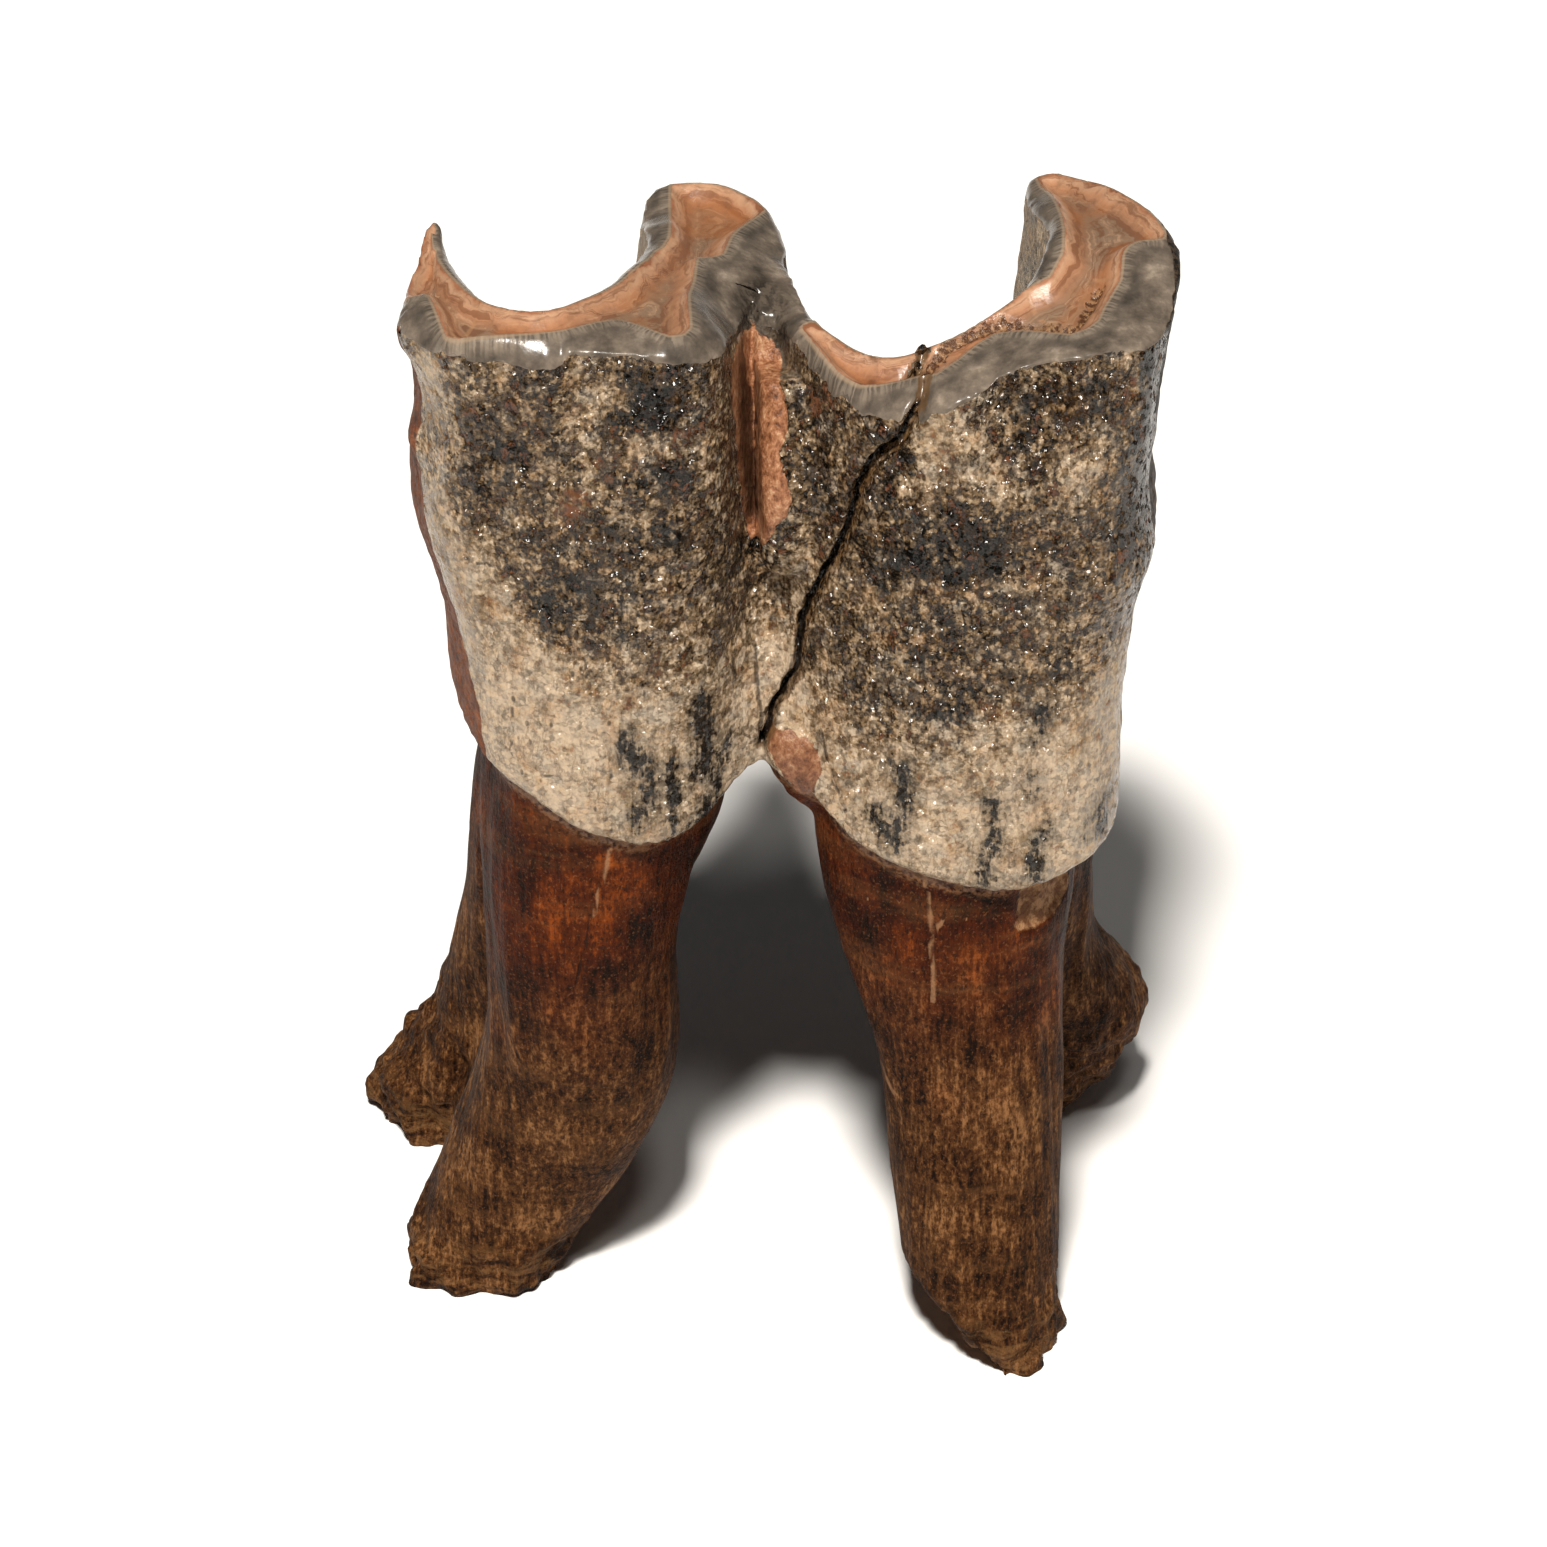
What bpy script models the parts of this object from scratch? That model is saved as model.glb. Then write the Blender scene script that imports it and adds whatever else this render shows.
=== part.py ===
"""Fossil molar of a woolly rhinoceros, from the left side of the lower jaw, standing on its four root ends.

Lengths are in millimetres until the last step, which scales the tooth to metres. +X runs along the tooth
row to the back of the jaw, -Y faces the cheek and +Z is up. The finished tooth is centred over the origin
and stands on z = 0. It grew as one piece, so it is one object.
"""

import bmesh
import bpy
import numpy as np
from mathutils import Matrix, Vector, noise

MM = 0.001

# The crown is lofted from its neck up to a level top, which is then worn down to the chewing surface.
CAP_Z = 78.0
NECK_Z = 40.0
CROWN_RINGS = 26
POINTS_PER_SPAN = 4

# The chewing surface: hard enamel stands proud round dentine that is worn into a trough.
WEAR_FROM_Z = 64.0
CHEEK_ENAMEL = 2.4
INNER_ENAMEL = 1.2
BEVEL = 1.25
DISH = 1.1
DISH_WIDTH = 1.5

# The forms are fused on a grid, softened by repeated smoothing, and thinned to the triangles worth keeping.
VOXEL = 0.45
SOFT_PASSES = 14
SOFTNESS = ((38.0, 1.0), (46.0, 0.5), (62.0, 0.4), (66.0, 0.3))  # height and share: the roots are softest
LAST_PASSES = 2
TRIANGLES = 9400
ROOT_POINTS = 30
ROOT_RINGS = 26

# The crown's outline in stretches, each with the thickness of its enamel, the height at which it reaches
# its lower place, its taper and its points: x and y at the top, then x and y at the neck. With a taper
# below 1 the wall is steep near the top and leans over lower down.
OUTLINE = (
    ("cheek side, front lobe", CHEEK_ENAMEL, NECK_Z, 0.85, (
        (-21.8, -10.4, -18.2, -9.6), (-19.8, -13.3, -16.0, -12.6), (-14.0, -14.6, -12.4, -14.2),
        (-8.5, -14.8, -8.2, -14.2), (-4.6, -14.0, -5.0, -12.8), (-3.1, -11.8, -2.9, -10.8),
    )),
    ("cheek side, groove", 2.0, NECK_Z, 1.5, (
        (-2.6, -8.2, -1.9, -10.0), (-1.8, -4.2, -0.9, -9.4), (0.0, -3.4, 0.3, -9.4), (1.4, -6.6, 1.7, -10.4),
    )),
    ("cheek side, rear lobe", CHEEK_ENAMEL, NECK_Z, 0.85, (
        (4.6, -11.2, 4.0, -12.6), (9.5, -14.0, 8.2, -14.6), (14.5, -14.5, 13.2, -15.3),
        (19.5, -13.7, 18.0, -14.3), (23.0, -11.0, 20.8, -11.2),
    )),
    ("rear face", 2.2, NECK_Z, 1.3, (
        (24.6, -6.0, 21.5, -6.0), (24.9, -1.0, 21.6, 0.0), (23.2, 4.5, 21.2, 5.5), (20.6, 9.2, 19.4, 9.8),
    )),
    ("rear cusp", 0.7, NECK_Z, 1.0, (
        (18.2, 12.0, 16.6, 12.6), (16.0, 11.2, 14.4, 13.3),
    )),
    ("rear valley", INNER_ENAMEL, 50.0, 0.45, (
        (16.0, 7.0, 12.8, 13.5), (17.0, 1.5, 11.2, 13.6), (15.8, -3.2, 9.8, 13.6), (12.6, -6.2, 8.6, 13.5),
        (9.0, -7.6, 7.6, 13.4), (5.8, -7.4, 6.6, 13.3), (2.8, -5.2, 5.6, 13.2), (1.4, -1.4, 4.6, 13.1),
    )),
    ("middle cusp, rear side", 2.2, 46.0, 0.6, (
        (0.7, 2.5, 3.0, 13.0), (0.4, 6.5, 2.0, 13.0), (-0.5, 10.2, 0.6, 13.1),
    )),
    ("middle cusp", 0.6, NECK_Z, 0.85, (
        (-2.8, 12.4, -1.6, 13.2), (-5.5, 13.0, -4.2, 13.3), (-7.8, 12.0, -6.4, 13.1),
    )),
    ("front valley, side of the middle cusp", INNER_ENAMEL, 52.0, 0.8, (
        (-8.5, 8.0, -10.0, 13.0), (-8.0, 3.0, -10.8, 12.9),
    )),
    ("front valley", INNER_ENAMEL, 52.0, 0.45, (
        (-8.9, -1.8, -11.3, 12.8), (-11.0, -6.4, -11.8, 12.7), (-14.0, -9.4, -12.4, 12.6),
        (-17.2, -7.8, -13.2, 12.4),
        (-19.2, -4.0, -14.2, 12.1), (-20.4, 0.2, -15.6, 12.3),
    )),
    ("front face", 0.3, NECK_Z, 0.6, (
        (-21.0, 3.0, -17.2, 11.4), (-21.8, 1.6, -18.2, 8.4), (-22.2, -1.6, -18.7, 3.0),
        (-22.6, -6.0, -19.0, -4.0),
    )),
)

# Heights of the enamel's lower edge, as x, y and z round the neck. It hangs low under each lobe.
NECK_LINE = (
    (-11.0, -14.0, 39.4), (-18.7, -9.5, 43.6), (-19.3, 0.0, 46.5), (-16.0, 11.0, 43.5),
    (-9.0, 13.0, 39.8), (-1.0, 13.2, 43.0), (9.0, 13.5, 38.6), (17.5, 12.0, 41.0),
    (22.0, 0.0, 42.0), (20.5, -10.5, 38.4), (14.0, -14.8, 36.0), (6.0, -13.2, 39.4), (-0.6, -9.6, 44.8),
)
NECK_REACH = 3.0

# Heights of the chewing surface at its cusps and saddles, as x, y and z.
WEAR_SPOTS = (
    (-21.5, 3.0, 75.4), (-23.4, -3.0, 73.6), (-19.4, -4.5, 76.2), (-22.0, -9.0, 75.8), (-14.0, -12.0, 76.6),
    (-6.0, -12.0, 76.2), (-9.5, -5.0, 75.6), (-4.5, 1.0, 74.4), (-5.5, 12.5, 72.6), (0.0, 5.0, 73.0),
    (1.6, -4.5, 72.8), (6.5, -10.0, 71.4), (12.5, -10.5, 73.6), (19.0, -9.5, 75.2), (23.2, 0.0, 76.4),
    (20.6, 6.5, 75.6), (17.4, 11.5, 73.5),
)
WEAR_REACH = 3.2

# Each root as rings from the crown down: x, y, z, half width along X, half depth along Y.
ROOTS = {
    "front cheek-side root": (2.3, (
        (-10.9, -6.8, 47.0, 7.6, 6.7), (-11.6, -7.0, 39.0, 7.0, 6.6), (-12.3, -6.8, 31.0, 6.3, 6.2),
        (-12.4, -6.2, 22.6, 6.2, 5.9), (-12.8, -5.4, 18.0, 6.4, 5.7), (-14.0, -4.4, 13.3, 6.4, 5.7),
        (-15.9, -3.4, 8.5, 6.1, 5.5), (-18.0, -3.4, 3.7, 5.5, 4.9), (-20.2, -3.6, -1.5, 5.3, 4.2),
    )),
    "rear cheek-side root": (2.3, (
        (10.6, -7.0, 44.0, 8.6, 7.0), (11.0, -7.5, 35.4, 8.1, 6.9), (11.6, -8.1, 28.2, 6.9, 6.5),
        (12.6, -9.0, 20.7, 6.1, 6.0), (13.0, -10.0, 13.1, 5.5, 5.6), (13.3, -11.0, 5.7, 5.2, 5.4),
        (13.6, -12.0, -2.0, 5.0, 5.4),
    )),
    "front tongue-side root": (2.2, (
        (-11.5, 6.5, 46.0, 7.6, 6.5), (-12.3, 6.8, 38.0, 6.8, 6.3), (-13.6, 7.4, 30.0, 6.4, 6.0),
        (-15.0, 8.4, 22.3, 5.8, 5.6), (-16.3, 9.8, 17.0, 5.4, 5.4), (-17.8, 11.4, 12.0, 4.9, 5.2),
        (-19.8, 12.6, 7.0, 4.7, 5.2), (-22.0, 13.6, 3.0, 5.2, 5.0), (-23.0, 14.0, -1.5, 5.0, 4.6),
    )),
    "rear tongue-side root": (2.2, (
        (12.4, 6.5, 44.0, 8.4, 6.8), (13.5, 6.8, 36.0, 7.6, 6.4), (14.6, 7.2, 29.0, 6.5, 6.1),
        (15.5, 8.2, 22.3, 5.5, 5.8), (16.2, 9.6, 17.4, 5.2, 5.6), (17.4, 11.2, 13.4, 6.3, 5.6),
        (18.8, 12.6, 9.8, 6.5, 5.6), (18.0, 14.0, 5.0, 5.6, 5.0), (16.8, 15.2, 1.8, 4.6, 4.4),
        (16.2, 16.0, -1.5, 3.4, 3.4),
    )),
    "front web": (3.2, (
        (-10.6, -0.2, 48.0, 8.2, 12.8), (-10.6, -0.2, 40.0, 7.8, 12.3), (-11.4, 0.0, 33.0, 6.2, 11.0),
        (-12.6, 0.6, 25.0, 4.4, 9.5), (-14.2, 1.8, 18.0, 3.2, 8.5), (-16.4, 3.4, 12.0, 2.8, 7.5),
        (-18.8, 4.8, 7.0, 2.4, 6.5), (-20.4, 6.0, 3.0, 1.6, 4.0),
    )),
    "rear web": (2.6, (
        (11.0, -0.3, 47.0, 9.4, 13.0), (11.4, -0.3, 38.0, 8.8, 12.4), (12.2, -0.3, 31.0, 6.8, 11.0),
        (13.4, 0.0, 24.0, 4.4, 9.5), (14.4, 0.6, 17.0, 3.0, 8.5), (14.9, 1.0, 13.0, 2.2, 6.0),
        (15.0, 1.0, 11.5, 1.2, 3.0),
    )),
    "saddle between the roots": (2.2, (
        (0.0, 1.4, 49.5, 8.6, 9.0), (-0.2, 1.5, 47.5, 7.0, 9.2), (-0.5, 1.6, 45.0, 4.4, 9.2),
        (-0.8, 1.6, 43.0, 1.6, 8.8),
    )),
    "cement left in the groove": (2.6, (
        (0.7, -5.6, 73.4, 1.8, 2.5), (0.9, -7.0, 68.0, 1.9, 2.7), (0.8, -7.9, 62.0, 1.8, 2.5),
        (0.4, -8.0, 57.0, 1.3, 1.9),
    )),
    "cement at the fork": (2.0, (
        (1.2, -8.6, 46.6, 1.2, 1.2), (1.5, -9.0, 45.4, 2.0, 1.9), (1.7, -9.0, 43.4, 2.2, 2.1),
        (2.3, -8.8, 41.2, 1.8, 1.9), (2.8, -8.6, 39.6, 0.9, 1.0),
    )),
}

# The crack down the rear lobe, as x and z on the cheek side's face.
CRACK_HALF_WIDTH = 0.8
CRACK_DEPTH = 1.0
CRACK = (
    (9.3, 73.6), (8.7, 69.6), (7.4, 67.6), (5.6, 65.2), (4.7, 61.6), (4.1, 58.0), (2.9, 54.5), (2.0, 50.6),
    (1.3, 48.2), (-0.2, 44.8),
)

# Swellings below the facets where the teeth beside it rubbed: the side along X, height, reach and relief.
SWELLINGS = ((1.0, 58.6, 2.6, 0.9), (-1.0, 61.5, 5.5, 1.1))
SWELLING_FROM_X = 18.0

# Relief by surface: how far it strays from the smooth form, and the noise's scale along X, Y and Z.
ROOT_LUMPS = (0.35, (0.16, 0.16, 0.09))
ROOT_RIDGES = (0.22, (0.7, 0.7, 0.06))
END_PITS = (0.7, (0.45, 0.45, 0.45))
WALL_RELIEF = (0.22, (0.3, 0.3, 0.16))
END_Z = 7.0
NOISE_STEP = 13.0  # sets each relief's noise apart from the others'

# Slanted breaks at root ends: the root, a point on the break, and the direction that is broken away.
BREAKS = (
    ("rear cheek-side root", (14.9, -17.0, -0.2), (-0.72, -0.10, -0.69)),
    ("front tongue-side root", (-25.2, 11.0, 0.0), (-0.78, -0.46, -0.42)),
)


def spline(points, per_span, closed):
    """Points on a Catmull-Rom curve through the given ones, in any number of dimensions."""
    points = np.asarray(points, float)
    count = len(points)
    spans = count if closed else count - 1
    index = np.arange(spans)[:, None] + np.arange(-1, 3)[None]
    index = index % count if closed else np.clip(index, 0, count - 1)
    a, b, c, d = (points[index[:, k]][:, None] for k in range(4))
    t = (np.arange(per_span) / per_span)[None, :, None]
    curve = b + 0.5 * t * (c - a + t * (2 * a - 5 * b + 4 * c - d + t * (3 * (b - c) + d - a)))
    curve = curve.reshape(-1, points.shape[1])
    return curve if closed else np.vstack([curve, points[-1]])


def height_over(spots, reach, x, y):
    """A smooth surface through named heights: at each place, the mean of the spots weighted by nearness."""
    spots = np.asarray(spots)
    away = (x[:, None] - spots[:, 0]) ** 2 + (y[:, None] - spots[:, 1]) ** 2
    near = np.exp(-away / (2 * reach**2)) + 1e-9 / (1.0 + away)
    return (near @ spots[:, 2]) / near.sum(1)


def crown_outline():
    """One row per outline point: x, y at the top, x, y at the neck, enamel thickness, low height, taper."""
    rows = [
        (*point, enamel, low, taper) for _, enamel, low, taper, points in OUTLINE for point in points
    ]
    return spline(rows, POINTS_PER_SPAN, closed=True)


def outline_at(outline, z):
    """The outline's x and y at height z, which is one number or one for each outline point."""
    share = np.clip((z - outline[:, 5]) / (CAP_Z - outline[:, 5]), 0.0, 1.0) ** outline[:, 6]
    share = share[:, None]
    return outline[:, 2:4] * (1 - share) + outline[:, 0:2] * share


def loft(name, rings):
    """A closed mesh through rings of points, with a flat face over each end."""
    bm = bmesh.new()
    layers = [[bm.verts.new(point) for point in ring] for ring in rings]
    for lower, upper in zip(layers, layers[1:]):
        for k in range(len(lower)):
            bm.faces.new((lower[k - 1], lower[k], upper[k], upper[k - 1]))
    ends = [bm.faces.new(layers[0]), bm.faces.new(layers[-1])]
    bmesh.ops.triangulate(bm, faces=ends)
    bmesh.ops.recalc_face_normals(bm, faces=bm.faces)
    mesh = bpy.data.meshes.new(name)
    bm.to_mesh(mesh)
    bm.free()
    return mesh


def crown_mesh(outline):
    neck_z = height_over(NECK_LINE, NECK_REACH, outline[:, 2], outline[:, 3])
    rings = []
    for step in np.linspace(0.0, 1.0, CROWN_RINGS):
        z = neck_z + step * (CAP_Z - neck_z)
        rings.append(np.column_stack([outline_at(outline, z), z]))
    return loft("crown", rings)


def root_mesh(name, squareness, keys):
    """A root from rings of superellipses, with its end broken off where BREAKS says so."""
    turn = np.linspace(0.0, 2 * np.pi, ROOT_POINTS, endpoint=False)
    along_x = np.sign(np.cos(turn)) * np.abs(np.cos(turn)) ** (2 / squareness)
    along_y = np.sign(np.sin(turn)) * np.abs(np.sin(turn)) ** (2 / squareness)
    per_span = max(2, ROOT_RINGS // (len(keys) - 1))
    rings = [
        np.column_stack([x + wide * along_x, y + deep * along_y, np.full(ROOT_POINTS, z)])
        for x, y, z, wide, deep in spline(keys, per_span, closed=False)
    ]
    mesh = loft(name, rings)
    for root, point, direction in BREAKS:
        if root == name:
            cut_away(mesh, point, direction)
    return mesh


def joined(meshes):
    """One mesh that holds all of these, still overlapping."""
    bm = bmesh.new()
    for mesh in meshes:
        bm.from_mesh(mesh)
    mesh = bpy.data.meshes.new("overlapping")
    bm.to_mesh(mesh)
    bm.free()
    return mesh


def with_modifier(mesh, kind, settings, weights=None):
    """The mesh as a modifier leaves it, with an optional weight for each vertex in its group called soft."""
    helper = bpy.data.objects.new("helper", mesh)
    bpy.context.scene.collection.objects.link(helper)
    if weights is not None:
        group = helper.vertex_groups.new(name="soft")
        for index, weight in enumerate(weights):
            group.add([index], float(weight), "REPLACE")
    modifier = helper.modifiers.new(kind.title(), kind)
    for key, value in settings.items():
        setattr(modifier, key, value)
    evaluated = helper.evaluated_get(bpy.context.evaluated_depsgraph_get())
    result = bpy.data.meshes.new_from_object(evaluated)
    bpy.data.objects.remove(helper)
    return result


def points_of(mesh):
    points = np.empty(len(mesh.vertices) * 3)
    mesh.vertices.foreach_get("co", points)
    return points.reshape(-1, 3)


def place_points(mesh, points):
    mesh.vertices.foreach_set("co", np.ascontiguousarray(points, float).ravel())
    mesh.update()


def gaps_to(starts, runs, places):
    """How far each place in the plane is from each of the segments."""
    away = places[:, None] - starts
    share = np.clip((away * runs).sum(2) / (runs**2).sum(1), 0.0, 1.0)
    return np.linalg.norm(away - share[..., None] * runs, axis=2)


def wear_down(mesh, outline):
    """Squeezes the top of the crown down onto the chewing surface, and dishes its dentine."""
    points = points_of(mesh)
    top = np.flatnonzero(points[:, 2] > WEAR_FROM_Z)
    x, y, z = points[top].T
    rim = outline_at(outline, CAP_Z)
    gaps = gaps_to(rim, np.roll(rim, -1, axis=0) - rim, points[top, :2])
    depth, enamel = gaps.min(1), outline[gaps.argmin(1), 4]
    in_enamel = np.clip(1 - depth / enamel, 0.0, 1.0)
    in_dentine = np.clip((depth - enamel) / DISH_WIDTH, 0.0, 1.0)
    surface = height_over(WEAR_SPOTS, WEAR_REACH, x, y)
    surface -= BEVEL * (enamel / CHEEK_ENAMEL) * in_enamel**1.5
    surface -= DISH * in_dentine * in_dentine * (3 - 2 * in_dentine)
    points[top, 2] = WEAR_FROM_Z + (z - WEAR_FROM_Z) * (surface - WEAR_FROM_Z) / (CAP_Z - WEAR_FROM_Z)
    place_points(mesh, points)


def relief(points, surfaces):
    """How far each point moves along its normal, from pairs of a surface's mask and its relief."""
    shift = np.zeros(len(points))
    for order, (mask, (height, scale)) in enumerate(surfaces):
        places = points * scale + NOISE_STEP * (order + 1)
        shift += height * mask * [noise.noise(Vector(place)) for place in places]
    return shift


def roughen(mesh):
    """Gives walls, roots and root ends their relief, and cuts the crack."""
    points = points_of(mesh)
    normals = np.empty(len(mesh.vertices) * 3)
    mesh.vertices.foreach_get("normal", normals)
    normals = normals.reshape(-1, 3)
    x, y, z = points.T
    root = np.clip((height_over(NECK_LINE, NECK_REACH, x, y) - z) / 2.0, 0.0, 1.0)
    end = np.clip(1 - z / END_Z, 0.0, 1.0)
    wall = (1 - root) * np.clip(1.2 - np.abs(normals[:, 2]), 0.0, 1.0)
    shift = relief(points, ((root, ROOT_LUMPS), (root, ROOT_RIDGES), (end, END_PITS), (wall, WALL_RELIEF)))
    for side, height, reach, swelling in SWELLINGS:
        facing = np.clip(side * normals[:, 0], 0.0, 1.0) * (side * x > SWELLING_FROM_X)
        shift += facing * swelling * np.exp(-(((z - height) / reach) ** 2))
    points += normals * shift[:, None]
    path = np.asarray(CRACK)
    gap = gaps_to(path[:-1], np.diff(path, axis=0), points[:, ::2]).min(1)
    groove = np.clip(1 - (gap / CRACK_HALF_WIDTH) ** 2, 0.0, 1.0)
    points[:, 1] += CRACK_DEPTH * groove * np.clip(-2 * normals[:, 1], 0.0, 1.0) * (y < 0.0)
    place_points(mesh, points)


def cut_away(mesh, point, direction):
    """Cuts off what lies beyond a plane, and closes the cut with a flat face."""
    bm = bmesh.new()
    bm.from_mesh(mesh)
    everything = bm.verts[:] + bm.edges[:] + bm.faces[:]
    cut = bmesh.ops.bisect_plane(bm, geom=everything, plane_co=point, plane_no=direction, clear_outer=True)
    rim = [part for part in cut["geom_cut"] if isinstance(part, bmesh.types.BMEdge)]
    bmesh.ops.holes_fill(bm, edges=rim, sides=0)
    bm.to_mesh(mesh)
    bm.free()


def tooth_mesh():
    outline = crown_outline()
    forms = [crown_mesh(outline)]
    forms += [root_mesh(name, squareness, keys) for name, (squareness, keys) in ROOTS.items()]
    mesh = with_modifier(joined(forms), "REMESH", {"mode": "VOXEL", "voxel_size": VOXEL})
    soft = np.interp(points_of(mesh)[:, 2], *zip(*SOFTNESS))
    settings = {"factor": 0.5, "iterations": SOFT_PASSES, "vertex_group": "soft"}
    mesh = with_modifier(mesh, "SMOOTH", settings, weights=soft)
    wear_down(mesh, outline)
    roughen(mesh)
    mesh = with_modifier(mesh, "SMOOTH", {"factor": 0.5, "iterations": LAST_PASSES})
    triangles = sum(len(face.vertices) - 2 for face in mesh.polygons)
    mesh = with_modifier(mesh, "DECIMATE", {"ratio": TRIANGLES / triangles})
    cut_away(mesh, (0.0, 0.0, 0.0), (0.0, 0.0, -1.0))
    return mesh


def tooth_material():
    material = bpy.data.materials.new("tooth")
    material.use_nodes = True
    shader = material.node_tree.nodes["Principled BSDF"]
    shader.inputs["Base Color"].default_value = (0.16, 0.09, 0.05, 1.0)
    shader.inputs["Roughness"].default_value = 0.45
    shader.inputs["Metallic"].default_value = 0.0
    return material


def main():
    for leftover in list(bpy.data.objects):
        bpy.data.objects.remove(leftover)
    mesh = tooth_mesh()
    points = points_of(mesh)
    low, high = points.min(0), points.max(0)
    mesh.transform(Matrix.Translation((-(low[0] + high[0]) / 2, -(low[1] + high[1]) / 2, -low[2])))
    mesh.transform(Matrix.Scale(MM, 4))
    mesh.name = "tooth"
    mesh.materials.clear()
    mesh.materials.append(tooth_material())
    tooth = bpy.data.objects.new("tooth", mesh)
    bpy.context.scene.collection.objects.link(tooth)


main()
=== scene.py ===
"""The looks of the fossil molar: its form again on a finer grid, with the relief, stains and gloss of its tissues.

Lengths are in millimetres in the model's first frame until the finished mesh is centred, stood on Z = 0 and
scaled to metres. +X runs to the back of the jaw, -Y faces the cheek and the camera, and +Z is up.
"""

import math

import bmesh
import bpy
import numpy as np
from mathutils import Matrix, Vector, noise


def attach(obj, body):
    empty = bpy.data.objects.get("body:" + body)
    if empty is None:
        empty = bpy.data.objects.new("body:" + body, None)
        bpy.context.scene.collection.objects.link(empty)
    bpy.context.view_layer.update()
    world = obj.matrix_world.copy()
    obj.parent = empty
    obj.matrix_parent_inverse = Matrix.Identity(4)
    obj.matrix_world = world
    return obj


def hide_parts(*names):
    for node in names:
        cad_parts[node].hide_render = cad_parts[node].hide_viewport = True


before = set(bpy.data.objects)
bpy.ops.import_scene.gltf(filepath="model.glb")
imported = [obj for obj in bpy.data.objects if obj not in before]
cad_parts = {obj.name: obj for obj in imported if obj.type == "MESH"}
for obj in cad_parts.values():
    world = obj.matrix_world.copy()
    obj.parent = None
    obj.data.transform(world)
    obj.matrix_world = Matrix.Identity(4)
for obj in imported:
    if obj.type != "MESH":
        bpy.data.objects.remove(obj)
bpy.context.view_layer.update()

MM = 0.001

# The crown is lofted from its neck up to a level top, which is then worn down to the chewing surface.
CAP_Z = 78.0
NECK_Z = 40.0
CROWN_RINGS = 26
POINTS_PER_SPAN = 4
WEAR_FROM_Z = 64.0
CHEEK_ENAMEL = 2.4
INNER_ENAMEL = 1.2
BEVEL = 1.25
DISH = 1.1
DISH_WIDTH = 1.5
JUNCTION_STEP = 0.2  # how far the dentine lies below the inner edge of the enamel
JUNCTION_WIDTH = 0.25

VOXEL = 0.254
SOFT_PASSES = int(14 * (0.45 / VOXEL) ** 2)
SOFTNESS = ((38.0, 1.0), (46.0, 0.5), (62.0, 0.4), (66.0, 0.3), (74.0, 0.25), (76.5, 0.06))
LAST_PASSES = 2
TRIANGLES = 196000
ROOT_POINTS = 48
ROOT_RINGS = 40

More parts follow.
